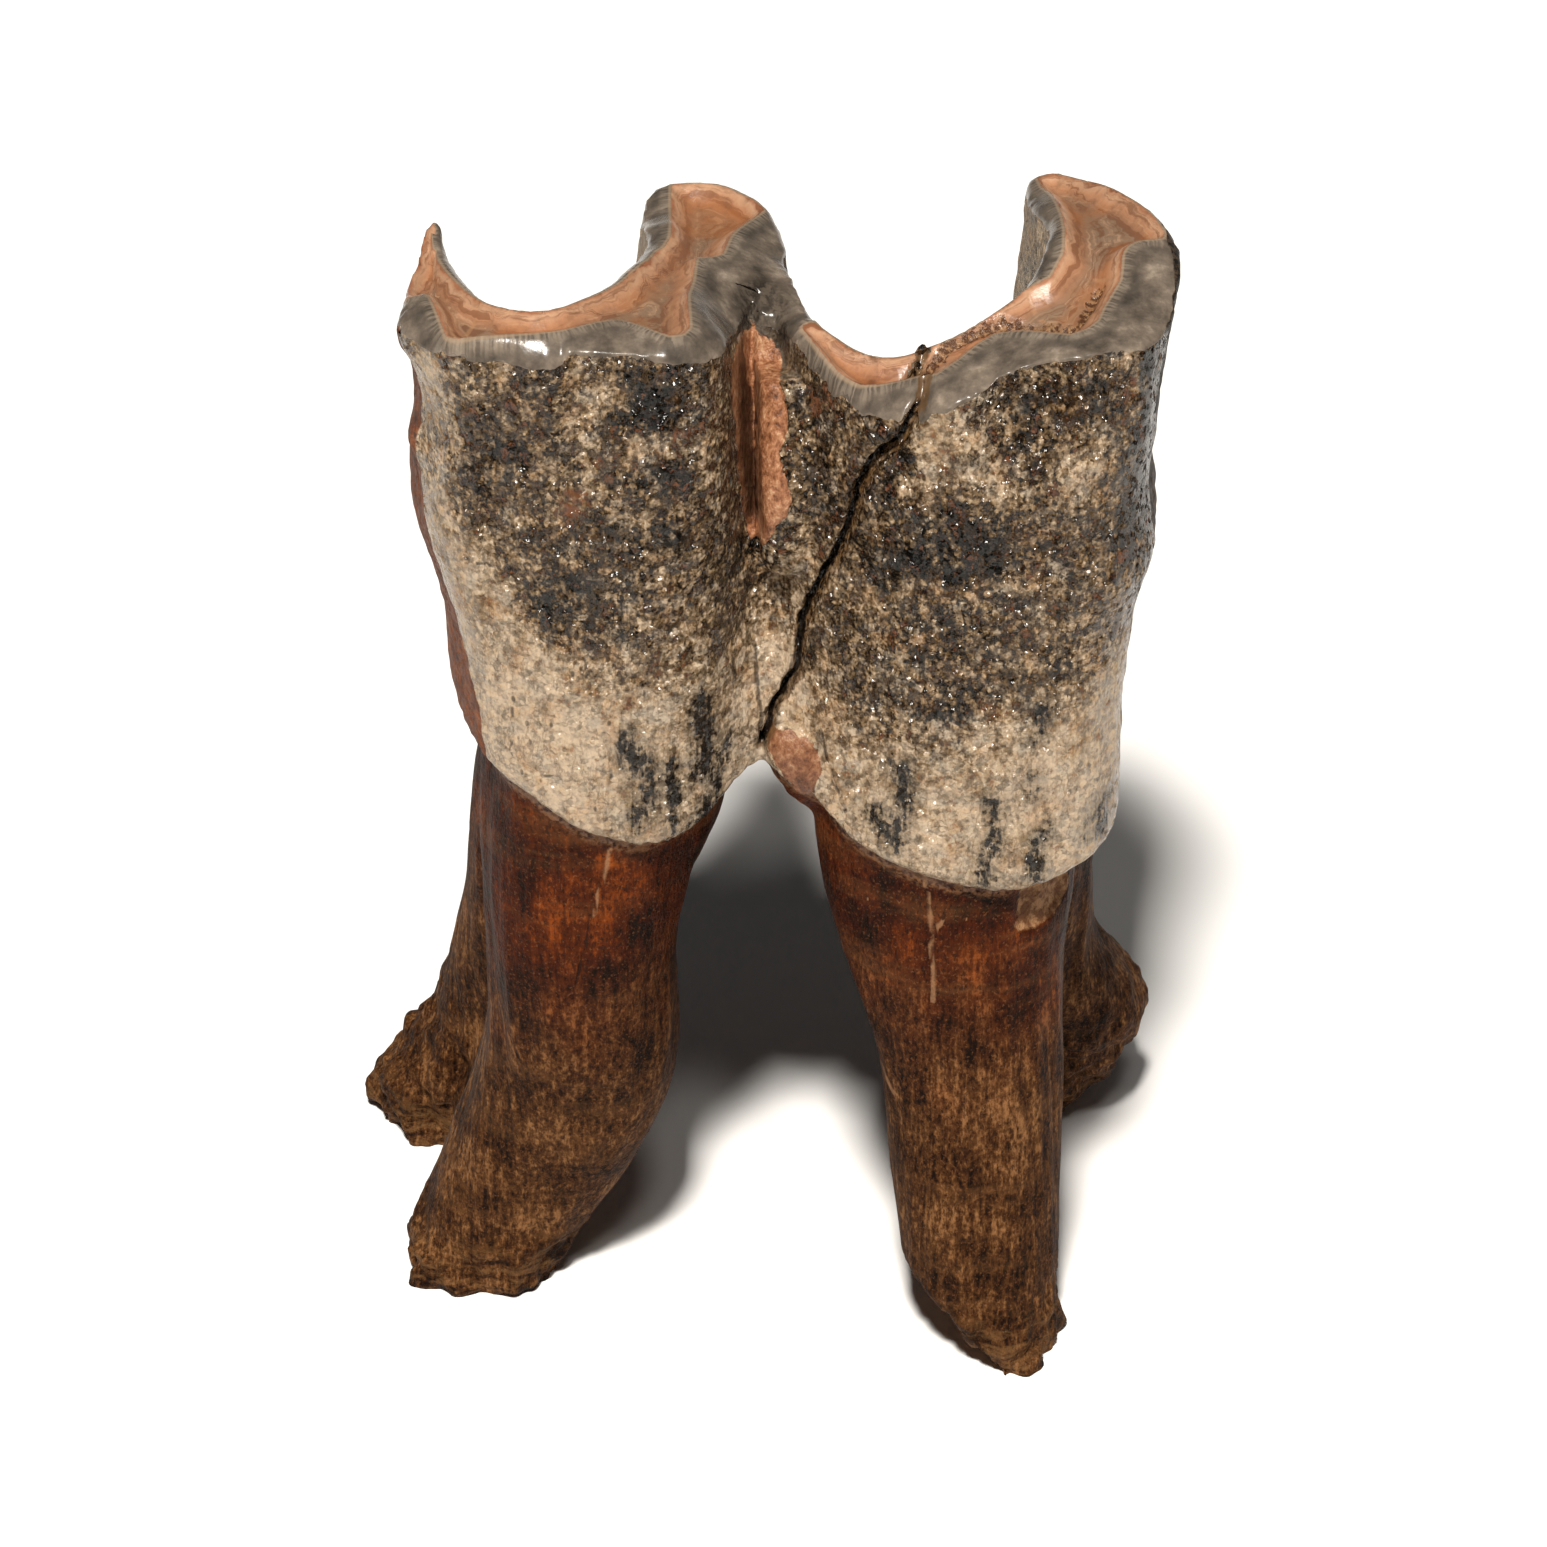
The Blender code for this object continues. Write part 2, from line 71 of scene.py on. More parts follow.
# The crown's outline in stretches, each with the thickness of its enamel, the height at which it reaches
# its lower place, its taper and its points: x and y at the top, then x and y at the neck.
OUTLINE = (
    ("cheek side, front lobe", CHEEK_ENAMEL, NECK_Z, 0.85, (
        (-21.8, -10.4, -18.2, -9.6), (-19.8, -13.3, -16.0, -12.6), (-14.0, -14.6, -12.4, -14.2),
        (-8.5, -14.8, -8.2, -14.2), (-4.6, -14.0, -5.0, -12.8), (-3.1, -11.8, -2.9, -10.8),
    )),
    ("cheek side, groove", 2.0, NECK_Z, 1.5, (
        (-2.6, -8.2, -1.9, -10.0), (-1.8, -4.2, -0.9, -9.4), (0.0, -3.4, 0.3, -9.4), (1.4, -6.6, 1.7, -10.4),
    )),
    ("cheek side, rear lobe", CHEEK_ENAMEL, NECK_Z, 0.85, (
        (4.6, -11.2, 4.0, -12.6), (9.5, -14.0, 8.2, -14.6), (14.5, -14.5, 13.2, -15.3),
        (19.5, -13.7, 18.0, -14.3), (23.0, -11.0, 20.8, -11.2),
    )),
    ("rear face", 2.2, NECK_Z, 1.3, (
        (24.6, -6.0, 21.5, -6.0), (24.9, -1.0, 21.6, 0.0), (23.2, 4.5, 21.2, 5.5), (20.6, 9.2, 19.4, 9.8),
    )),
    ("rear cusp", 0.7, NECK_Z, 1.0, (
        (18.2, 12.0, 16.6, 12.6), (16.0, 11.2, 14.4, 13.3),
    )),
    ("rear valley", INNER_ENAMEL, 50.0, 0.45, (
        (16.0, 7.0, 12.8, 13.5), (17.0, 1.5, 11.2, 13.6), (15.8, -3.2, 9.8, 13.6), (12.6, -6.2, 8.6, 13.5),
        (9.0, -7.6, 7.6, 13.4), (5.8, -7.4, 6.6, 13.3), (2.8, -5.2, 5.6, 13.2), (1.4, -1.4, 4.6, 13.1),
    )),
    ("middle cusp, rear side", 2.2, 46.0, 0.6, (
        (0.7, 2.5, 3.0, 13.0), (0.4, 6.5, 2.0, 13.0), (-0.5, 10.2, 0.6, 13.1),
    )),
    ("middle cusp", 0.6, NECK_Z, 0.85, (
        (-2.8, 12.4, -1.6, 13.2), (-5.5, 13.0, -4.2, 13.3), (-7.8, 12.0, -6.4, 13.1),
    )),
    ("front valley, side of the middle cusp", INNER_ENAMEL, 52.0, 0.8, (
        (-8.5, 8.0, -10.0, 13.0), (-8.0, 3.0, -10.8, 12.9),
    )),
    ("front valley", INNER_ENAMEL, 52.0, 0.45, (
        (-8.9, -1.8, -11.3, 12.8), (-11.0, -6.4, -11.8, 12.7), (-14.0, -9.4, -12.4, 12.6),
        (-17.2, -7.8, -13.2, 12.4),
        (-19.2, -4.0, -14.2, 12.1), (-20.4, 0.2, -15.6, 12.3),
    )),
    ("front face", 0.3, NECK_Z, 0.6, (
        (-21.0, 3.0, -17.2, 11.4), (-21.8, 1.6, -18.2, 8.4), (-22.2, -1.6, -18.7, 3.0),
        (-22.6, -6.0, -19.0, -4.0),
    )),
)

# The least thickness of the enamel round the dentine, by stretch; elsewhere it is THIN_RIM.
THIN_RIM = 0.5
RIMS = {
    "rear valley": 0.4, "front valley": 0.9, "front valley, side of the middle cusp": 1.0, "front face": 0.05,
    "middle cusp": 0.4, "rear cusp": 0.5, "rear face": 0.8,
}

# The worn facet's outer edge on the cheek side: x, how far it is moved along Y, and how deep it is bevelled.
EDGE_SHAPE = (
    (-23.0, 0.0, 1.1), (-20.5, -0.2, 1.4), (-18.0, -0.4, 1.6), (-15.0, -0.4, 1.6), (-13.4, -0.2, 1.3),
    (-12.2, 0.4, 0.8), (-9.0, 0.4, 0.8), (-6.5, 0.1, 1.2), (-4.0, 0.0, 1.6), (-2.5, 0.0, 1.5), (1.4, 0.0, 1.5),
    (4.6, -0.2, 1.4), (7.5, -0.2, 1.4), (10.2, 0.0, 1.2), (12.2, 0.7, 0.9), (14.0, 1.8, 0.4), (16.5, 1.8, 0.35),
    (18.5, 1.2, 0.45), (20.5, 0.9, 0.6), (22.5, 0.4, 0.9), (24.5, 0.0, 1.2),
)
EDGE_FROM_Z = 64.0

# The dentine laid bare on the chewing surface, as x and y round each field. On the valley sides, where the
# points lie beyond the rim, the least thickness of the enamel decides.
DENTINE = (
    (
        (-23.5, 4.0), (-23.5, -7.0), (-21.8, -7.2), (-21.3, -6.8), (-20.9, -8.6), (-20.3, -11.0), (-20.0, -12.4),
        (-19.8, -13.2), (-18.9, -13.4), (-16.5, -13.5), (-14.5, -13.4), (-13.0, -13.0), (-12.0, -12.5),
        (-10.5, -11.6), (-9.4, -11.2), (-8.1, -11.9), (-7.3, -12.5), (-6.4, -13.1), (-5.6, -12.9), (-5.2, -12.1),
        (-5.3, -9.7), (-5.4, -6.9), (-5.1, -3.9), (-5.0, -1.4), (-4.9, -0.2), (-3.8, 0.3), (-3.3, 0.8),
        (-3.1, 2.0), (-2.8, 3.8), (-2.4, 5.1), (-1.8, 6.4), (-1.0, 7.9), (-0.7, 8.6), (-1.5, 10.2), (-3.1, 12.0),
        (-5.3, 13.4), (-6.6, 13.0), (-6.6, 9.6), (-6.5, 5.8), (-6.5, 2.8), (-6.9, 0.9), (-7.4, 0.0), (-8.3, -0.6),
        (-9.5, -0.4), (-10.4, -3.0), (-12.4, -7.0), (-14.5, -8.0), (-16.2, -6.6), (-18.4, -2.0), (-19.8, 3.0),
        (-20.6, 5.0),
    ),
    (
        (0.9, -7.2), (1.6, -7.8), (2.2, -7.9), (3.2, -9.0), (4.2, -10.3), (5.2, -11.1), (6.2, -11.3), (8.9, -11.2),
        (9.8, -11.6), (11.1, -10.6), (12.3, -9.3), (13.4, -8.5), (15.0, -8.9), (16.8, -10.0), (17.9, -10.6),
        (18.9, -10.2), (19.6, -9.3), (20.0, -7.8), (20.6, -6.3), (21.1, -5.2), (21.3, -3.1), (21.6, -2.3),
        (22.3, -1.6), (23.8, -1.3), (24.5, 0.5), (23.6, 5.0), (20.8, 9.8), (18.6, 13.0), (16.4, 12.2), (16.8, 9.0),
        (17.2, 7.8), (17.5, 5.7), (17.8, 3.0), (17.9, 0.4), (17.8, -2.3), (16.9, -4.1), (15.2, -4.6), (12.0, -4.8),
        (8.8, -6.0), (5.9, -5.8), (3.4, -4.4), (1.6, -5.8), (1.0, -6.9),
    ),
)

# Heights of the enamel's lower edge, as x, y and z round the neck.
NECK_LINE = (
    (-18.7, -9.0, 45.6), (-15.0, -13.0, 43.7), (-11.0, -14.2, 39.7), (-7.0, -14.0, 38.9), (-3.8, -12.2, 40.7),
    (-0.8, -9.6, 44.2), (6.0, -13.2, 39.8), (10.0, -15.0, 37.3), (14.5, -15.2, 36.8), (20.5, -10.5, 38.4),
    (22.0, 0.0, 42.0), (17.5, 12.0, 41.0), (9.0, 13.5, 38.6), (-1.0, 13.2, 43.0), (-9.0, 13.0, 39.8),
    (-16.0, 11.0, 43.5), (-19.3, 0.0, 46.5),
)
NECK_REACH = 3.0

# Heights of the chewing surface at its cusps and saddles, as x, y and z.
WEAR_SPOTS = (
    (-21.5, 3.0, 75.4), (-23.4, -3.0, 73.6), (-19.4, -4.5, 76.2), (-22.0, -9.0, 75.8), (-14.0, -12.0, 76.6),
    (-6.0, -12.0, 76.2), (-9.5, -5.0, 75.6), (-4.5, 1.0, 74.4), (-5.5, 12.5, 72.6), (0.0, 5.0, 73.0),
    (1.6, -4.5, 72.8), (6.5, -10.0, 71.4), (12.5, -10.5, 73.6), (19.0, -9.5, 75.2), (23.2, 0.0, 76.4),
    (20.6, 6.5, 75.6), (17.4, 11.5, 73.5),
)
WEAR_REACH = 3.2

# Each root as rings from the crown down: x, y, z, half width along X, half depth along Y.
ROOTS = {
    "front cheek-side root": (2.3, (
        (-10.9, -6.8, 47.0, 7.6, 6.7), (-11.6, -7.0, 39.0, 7.0, 6.6), (-12.3, -6.8, 31.0, 6.3, 6.2),
        (-12.4, -6.2, 22.6, 6.2, 5.9), (-12.8, -5.4, 18.0, 6.4, 5.7), (-14.0, -4.4, 13.3, 6.4, 5.7),
        (-15.9, -3.4, 8.5, 6.1, 5.5), (-18.0, -3.4, 3.7, 5.5, 4.9), (-20.2, -3.6, -1.5, 5.3, 4.2),
    )),
    "rear cheek-side root": (2.3, (
        (10.6, -7.0, 44.0, 8.6, 7.0), (11.0, -7.5, 35.4, 8.1, 6.9), (11.6, -8.1, 28.2, 6.9, 6.5),
        (12.6, -9.0, 20.7, 6.1, 6.0), (13.0, -10.0, 13.1, 5.5, 5.6), (13.3, -11.0, 5.7, 5.2, 5.4),
        (13.6, -12.0, -2.0, 5.0, 5.4),
    )),
    "front tongue-side root": (2.2, (
        (-11.5, 6.5, 46.0, 7.6, 6.5), (-12.3, 6.8, 38.0, 6.8, 6.3), (-13.6, 7.4, 30.0, 6.4, 6.0),
        (-15.0, 8.4, 22.3, 5.8, 5.6), (-16.3, 9.8, 17.0, 5.4, 5.4), (-17.8, 11.4, 12.0, 4.9, 5.2),
        (-19.8, 12.6, 7.0, 4.7, 5.2), (-22.0, 13.6, 3.0, 5.2, 5.0), (-23.0, 14.0, -1.5, 5.0, 4.6),
    )),
    "rear tongue-side root": (2.2, (
        (12.4, 6.5, 44.0, 8.4, 6.8), (13.5, 6.8, 36.0, 7.6, 6.4), (14.6, 7.2, 29.0, 6.5, 6.1),
        (15.5, 8.2, 22.3, 5.5, 5.8), (16.2, 9.6, 17.4, 5.2, 5.6), (17.4, 11.2, 13.4, 6.3, 5.6),
        (18.8, 12.6, 9.8, 6.5, 5.6), (18.0, 14.0, 5.0, 5.6, 5.0), (16.8, 15.2, 1.8, 4.6, 4.4),
        (16.2, 16.0, -1.5, 3.4, 3.4),
    )),
    "front web": (3.2, (
        (-10.6, -0.2, 48.0, 8.2, 12.8), (-10.6, -0.2, 40.0, 7.8, 12.3), (-11.4, 0.0, 33.0, 6.2, 11.0),
        (-12.6, 0.6, 25.0, 4.4, 9.5), (-14.2, 1.8, 18.0, 3.2, 8.5), (-16.4, 3.4, 12.0, 2.8, 7.5),
        (-18.8, 4.8, 7.0, 2.4, 6.5), (-20.4, 6.0, 3.0, 1.6, 4.0),
    )),
    "rear web": (2.6, (
        (11.0, -0.3, 47.0, 9.4, 13.0), (11.4, -0.3, 38.0, 8.8, 12.4), (12.2, -0.3, 31.0, 6.8, 11.0),
        (13.4, 0.0, 24.0, 4.4, 9.5), (14.4, 0.6, 17.0, 3.0, 8.5), (14.9, 1.0, 13.0, 2.2, 6.0),
        (15.0, 1.0, 11.5, 1.2, 3.0),
    )),
    "saddle between the roots": (2.2, (
        (0.0, 1.4, 49.5, 8.6, 9.0), (-0.2, 1.5, 47.5, 7.0, 9.2), (-0.5, 1.6, 45.0, 4.4, 9.2),
        (-0.8, 1.6, 43.0, 1.6, 8.8),
    )),
    "cement left in the groove": (2.6, (
        (0.7, -5.6, 73.4, 1.8, 2.5), (0.9, -7.0, 68.0, 1.9, 2.7), (0.8, -7.9, 62.0, 1.8, 2.5),
        (0.4, -8.0, 57.0, 1.3, 1.9),
    )),
    "cement at the fork": (2.0, (
        (1.2, -8.6, 46.6, 1.2, 1.2), (1.5, -9.0, 45.4, 2.0, 1.9), (1.7, -9.0, 43.4, 2.2, 2.1),
        (2.3, -8.8, 41.2, 1.8, 1.9), (2.8, -8.6, 39.6, 0.9, 1.0),
    )),
}

# Slanted breaks at root ends: the root, a point on the break, and the direction that is broken away.
BREAKS = (
    ("rear cheek-side root", (14.9, -17.0, -0.2), (-0.72, -0.10, -0.69)),
    ("front tongue-side root", (-25.2, 11.0, 0.0), (-0.78, -0.46, -0.42)),
)

# The crack down the rear lobe, as x and z on the cheek side's face, with its half width by height.
CRACK_HALF_WIDTH = ((44.0, 0.26), (52.0, 0.30), (62.0, 0.38), (68.0, 0.50), (73.0, 0.42))
CRACK_DEPTH = 1.3
CRACK_LIP = 0.22
CRACK = (
    (9.3, 74.6), (9.2, 72.6), (8.7, 71.2), (8.1, 70.0), (7.4, 68.6), (6.5, 67.7), (5.8, 66.3), (5.3, 65.1),
    (5.0, 64.0), (4.8, 62.8), (4.3, 60.9), (3.6, 59.1), (2.9, 57.2), (2.0, 54.8), (1.7, 53.3), (1.5, 51.6),
    (1.3, 49.9), (0.4, 48.0), (-0.3, 46.5), (-0.9, 44.5),
)

# The cement left in the groove and at the fork, as x and z round each, and the deep slot on its left.
CEMENT = (
    (-2.6, 72.0), (-1.5, 71.3), (-0.5, 70.9), (0.2, 70.1), (0.4, 69.7), (0.6, 68.9), (0.8, 67.5), (0.5, 66.8),
    (0.3, 66.0), (0.3, 65.3), (0.7, 64.5), (1.0, 62.8), (0.7, 61.8), (0.1, 61.1), (-0.2, 60.3), (-0.8, 59.0),
    (-1.6, 58.8), (-2.0, 60.9), (-2.3, 64.1), (-2.5, 68.0), (-2.7, 70.6),
)
FORK_CEMENT = (
    (-0.7, 46.0), (0.6, 46.3), (2.4, 45.7), (2.9, 44.6), (2.6, 43.0), (2.2, 41.8), (1.4, 42.0), (0.4, 43.4),
    (-0.4, 44.8),
)
SLOT = ((-1.8, 73.5), (-1.8, 69.3), (-1.8, 66.2), (-1.6, 63.1), (-1.5, 60.1))
SLOT_HALF_WIDTH = 0.75
SLOT_DEPTH = 1.6
CEMENT_RISE = 0.3

# The flake broken off the rear root under the neck, as x and z round it.
CHIP = (
    (15.4, 35.9), (16.2, 37.2), (18.1, 37.6), (18.7, 35.4), (18.5, 34.0), (17.7, 32.9), (16.2, 32.6),
    (15.2, 33.0),
)
CHIP_DEPTH = 0.35

SWELLINGS = ((1.0, 58.6, 2.6, 0.9), (-1.0, 61.5, 5.5, 1.1))
SWELLING_FROM_X = 18.0

# Rounded knobs, as x, y, z, reach and height: the front corner of the crown, and a lump under it.
KNOBS = ((-22.3, -9.2, 74.2, 1.9, 0.9), (-21.6, -8.2, 66.5, 1.5, 0.7), (-23.2, -5.0, 71.5, 1.2, 0.35))

# Relief by surface: how far it strays from the smooth form, and the noise's scale along X, Y and Z.
ROOT_LUMPS = (0.35, (0.16, 0.16, 0.09))
ROOT_RIDGES = (0.22, (0.7, 0.7, 0.06))
END_PITS = (0.95, (0.5, 0.5, 0.5))
WALL_RELIEF = (0.22, (0.3, 0.3, 0.16))
ROOT_GRAIN = (0.09, (1.9, 1.9, 0.25))
END_GRAIN = (0.60, (1.2, 1.2, 1.2))
WALL_GRAIN = (0.12, (1.5, 1.5, 0.9))
END_Z = 7.0
TONGUE_END_Z = 17.0
NOISE_STEP = 13.0

# The split along the middle of the rear ridge's dentine, as x and y on the chewing surface.
FISSURE = (
    (7.9, -10.0), (9.6, -8.9), (10.5, -8.0), (11.7, -7.4), (13.0, -6.9), (13.9, -6.6), (14.8, -6.8), (16.0, -7.1),
    (16.9, -7.7), (17.6, -8.3), (18.4, -8.2), (19.1, -7.1), (19.4, -5.9), (19.8, -4.8),
)
FISSURE_HALF_WIDTH = 0.5
FISSURE_DEPTH = 0.5

# Fine lines in the dentine, as x and y: pale cracks, and brown lines.
PALE_CRACKS = (
    (
        (-9.3, -1.2), (-8.9, -4.0), (-9.0, -6.5), (-8.3, -7.7), (-7.5, -8.8), (-7.0, -10.3), (-6.4, -8.1),
        (-6.3, -6.7),
    ),
    ((-18.2, -8.2), (-18.4, -9.9), (-18.8, -11.3)),
    ((-21.0, -7.0), (-20.2, -9.5), (-19.5, -12.4)),
    ((-7.2, -11.5), (-6.4, -12.7)),
    ((-4.6, 3.2), (-3.8, 2.1)),
    ((19.3, -3.6), (20.1, -4.1), (21.1, -4.7)),
    ((15.5, -4.9), (16.6, -7.3)),
)
BROWN_LINES = (
    (
        (-19.5, -11.6), (-18.1, -12.3), (-16.5, -12.6), (-15.0, -12.5), (-13.5, -12.1), (-12.3, -11.3),
        (-11.1, -10.4), (-9.9, -9.6),
    ),
    ((5.8, -6.6), (6.0, -8.0), (5.9, -9.4), (5.3, -10.9)),
)

# Stains on the cheek side: x, z, half width, half height and how dark, or how pale where below zero.
STAINS = (
    (-7.0, 72.6, 2.3, 2.8, 0.55), (-8.5, 70.8, 1.0, 0.6, 0.4), (-6.5, 67.2, 1.9, 0.9, 0.5),
    (-5.6, 62.6, 1.5, 1.4, 0.35), (-14.0, 70.5, 1.0, 1.1, 0.35), (-16.3, 69.5, 3.2, 3.4, 0.16),
    (-12.8, 57.3, 2.3, 2.1, 0.26), (-12.0, 60.4, 3.4, 3.4, 0.10), (-2.5, 58.0, 1.3, 4.6, 0.15),
    (-18.1, 68.2, 1.3, 3.9, 0.10), (-21.0, 66.5, 1.7, 9.0, -0.30), (-18.3, 60.5, 1.8, 3.2, -0.25),
    (-7.0, 69.0, 2.2, 0.9, -0.35), (-11.8, 68.3, 1.0, 1.2, -0.30), (-11.3, 71.6, 1.7, 2.0, -0.22),
    (-21.3, 73.5, 1.6, 3.0, -0.30), (-10.0, 65.0, 3.2, 1.6, -0.05), (3.0, 68.6, 3.0, 2.6, 0.05),
    (3.0, 61.8, 1.9, 1.9, 0.14), (2.2, 57.6, 1.7, 3.2, -0.34), (10.1, 69.4, 2.3, 2.6, -0.45),
    (9.2, 66.4, 2.2, 0.8, -0.22), (8.0, 67.2, 0.5, 0.6, 0.6), (16.9, 71.5, 4.0, 2.8, 0.20),
    (18.7, 66.8, 1.8, 2.5, -0.30), (12.8, 66.6, 1.6, 0.8, -0.34), (12.6, 62.4, 1.5, 1.5, 0.55),
    (8.9, 60.6, 2.9, 1.5, 0.45), (9.8, 63.5, 1.6, 1.4, 0.22), (5.5, 64.6, 1.6, 1.2, 0.22),
    (14.4, 59.4, 2.8, 1.3, -0.14), (5.4, 50.6, 2.5, 1.0, 0.14), (10.3, 50.9, 3.0, 1.0, 0.26),
    (14.6, 51.6, 2.4, 1.0, 0.26), (17.9, 52.8, 2.2, 1.1, 0.20), (21.0, 54.6, 2.0, 1.6, 0.14),
    (2.4, 50.8, 0.5, 1.4, 0.4), (0.0, 50.1, 1.0, 3.1, -0.32), (8.0, 47.7, 2.8, 2.6, 0.08),
    (5.0, 44.0, 2.2, 2.4, 0.04), (-6.3, 45.0, 3.0, 4.2, 0.20), (-4.5, 50.5, 2.5, 2.5, 0.12),
    (7.6, 42.0, 3.4, 3.0, 0.10), (14.5, 40.4, 3.0, 2.6, 0.12), (-9.0, 52.5, 2.6, 1.6, 0.08),
    (17.5, 61.5, 3.0, 3.0, 0.10), (11.5, 55.8, 4.5, 2.4, 0.08), (-9.5, 63.5, 3.5, 3.0, 0.09),
)

# How stains stray from these rounds: noise scale and reach.
STAIN_WARPS = ((0.32, 1.5), (0.9, 0.7), (2.2, 0.3))

# Where the dark upper enamel gives way to the pale lower enamel, as x and z.
PALE_BELOW = (
    (-24.0, 62.0), (-20.0, 60.0), (-15.8, 57.0), (-11.5, 54.1), (-9.0, 53.0), (-4.1, 53.4), (0.7, 52.0),
    (4.0, 48.5), (10.0, 48.2), (15.0, 50.2), (18.0, 51.6), (21.0, 54.0), (25.0, 56.0),
)

# Rusty patches: x, z, half width and half height.
RUST = (
    (-12.4, 65.2, 1.3, 1.4), (-10.3, 68.8, 0.4, 0.5), (-5.4, 70.2, 1.2, 0.7), (-15.1, 70.4, 0.35, 0.4),
    (-10.6, 66.9, 0.7, 0.4), (18.5, 42.2, 0.25, 0.7), (17.9, 40.3, 0.15, 0.2), (3.2, 69.3, 0.9, 0.35),
    (16.2, 73.0, 0.5, 0.3), (12.0, 71.3, 0.3, 0.4), (21.3, 72.3, 0.6, 0.9),
)

# Places where the red root glows orange, or is darker where below zero: x, z, half width, half height, strength.
GLOWS = (
    (-14.2, 33.2, 1.3, 3.0, 1.0), (-10.6, 34.0, 0.9, 4.0, 1.0), (8.3, 32.3, 1.5, 3.0, 1.0),
    (12.5, 31.0, 0.8, 2.5, 0.8), (11.0, 34.0, 6.0, 5.0, -0.45),
)

# Black mineral streaks near the neck: half width, then x and z along each.
STREAKS = (
    (0.38, (-9.5, 48.4), (-9.0, 46.9), (-8.3, 44.4), (-8.0, 43.8)),
    (0.33, (-4.6, 50.3), (-4.7, 47.8), (-4.6, 45.7), (-4.8, 45.1)),
    (0.27, (-3.4, 46.6), (-3.6, 45.2), (-3.6, 43.2)),
    (0.33, (-6.7, 45.9), (-6.8, 45.1), (-6.3, 44.2), (-6.5, 42.7), (-6.5, 40.9)),
    (0.22, (-4.1, 42.4), (-4.6, 40.6)),
    (0.22, (-8.5, 42.9), (-8.6, 41.1)),
    (0.30, (6.5, 42.5), (6.9, 41.2), (7.4, 40.2)),
    (0.28, (7.8, 45.5), (7.5, 43.6), (7.6, 40.9)),
    (0.25, (13.5, 44.0), (13.7, 42.3), (13.5, 39.8), (13.5, 38.1)),
    (0.28, (16.6, 41.3), (16.4, 39.7), (16.5, 38.1)),
    (0.14, (16.6, 50.8), (16.4, 48.8)),
    (0.16, (16.0, 45.8), (15.9, 44.6)),
    (0.14, (20.5, 42.1), (20.4, 40.1)),
)

# Hairline cracks, as x and z: dark ones in the enamel and the front root, pale ones in the rear root.
DARK_HAIRLINES = (
    ((2.8, 46.9), (3.2, 45.0), (3.7, 43.4), (4.4, 41.7)),
    ((-1.1, 45.5), (-0.8, 46.5), (0.0, 47.4), (0.8, 48.9), (1.1, 50.9)),
    ((-11.7, 53.8), (-11.7, 52.4)),
    ((-16.4, 49.8), (-16.5, 46.1)),
    ((-14.5, 45.0), (-14.0, 45.1)),
    ((-2.7, 51.6), (-2.5, 49.8)),
    ((-1.3, 51.5), (-1.1, 47.9), (-0.8, 46.3)),
    ((-20.9, 59.1), (-19.3, 60.4), (-17.4, 59.9)),
    ((-10.6, 40.3), (-11.0, 36.6), (-11.5, 35.5), (-11.7, 33.8), (-12.0, 31.7), (-12.4, 29.9), (-12.9, 28.1)),
)
PALE_HAIRLINES = (
    ((9.3, 38.1), (9.6, 36.3), (9.7, 35.2), (9.9, 33.7), (9.8, 32.3), (10.1, 30.1), (10.0, 28.1)),
    ((5.1, 34.9), (7.1, 35.4), (9.1, 35.7), (9.7, 35.2)),
    ((9.9, 33.7), (10.7, 34.5), (12.5, 34.5), (13.9, 34.1), (15.2, 33.4)),
    ((6.9, 21.2), (7.4, 20.0), (8.1, 19.0)),
    ((-10.3, 40.3), (-10.8, 36.6), (-11.3, 35.5), (-11.5, 33.8)),
)

# The lights: name, azimuth (0 is the camera's side, 90 the rear face's), elevation, size and power.
LIGHTS = (("key", -6.0, 58.0, 0.20, 68.0), ("fill", 10.0, 57.0, 0.20, 4.0))
LIGHT_COLOUR = (1.0, 0.95, 0.88)
LIGHT_DISTANCE = 2.0
WORLD_LIGHT = 0.03
WALL_LIGHT = 1.6  # how much brighter than their own colours the walls come out in this light
CROWN_SHINE = 0.28
ROOT_SHINE = 0.06
ROOTS_BELOW = -0.3  # from this far under the enamel's lower edge, in mm, the roots' material takes over

# The photo's camera: where it looks, how far off and how high it stands, and its lens on a 36 mm sensor.
CAMERA_TARGET = (0.00129, -0.00144, 0.036)
CAMERA_DISTANCE = 0.5
CAMERA_ELEVATION = math.radians(33.0)
CAMERA_LENS = 180.0


# ---- form


def spline(points, per_span, closed):
    """Points on a Catmull-Rom curve through the given ones, in any number of dimensions."""
    points = np.asarray(points, float)
    count = len(points)
    spans = count if closed else count - 1
    index = np.arange(spans)[:, None] + np.arange(-1, 3)[None]
    index = index % count if closed else np.clip(index, 0, count - 1)
    a, b, c, d = (points[index[:, k]][:, None] for k in range(4))
    t = (np.arange(per_span) / per_span)[None, :, None]
    curve = b + 0.5 * t * (c - a + t * (2 * a - 5 * b + 4 * c - d + t * (3 * (b - c) + d - a)))
    curve = curve.reshape(-1, points.shape[1])
    return curve if closed else np.vstack([curve, points[-1]])


def height_over(spots, reach, x, y):
    """A smooth surface through named heights: at each place, the mean of the spots weighted by nearness."""
    spots = np.asarray(spots)
    away = (x[:, None] - spots[:, 0]) ** 2 + (y[:, None] - spots[:, 1]) ** 2
    near = np.exp(-away / (2 * reach**2)) + 1e-9 / (1.0 + away)
    return (near @ spots[:, 2]) / near.sum(1)


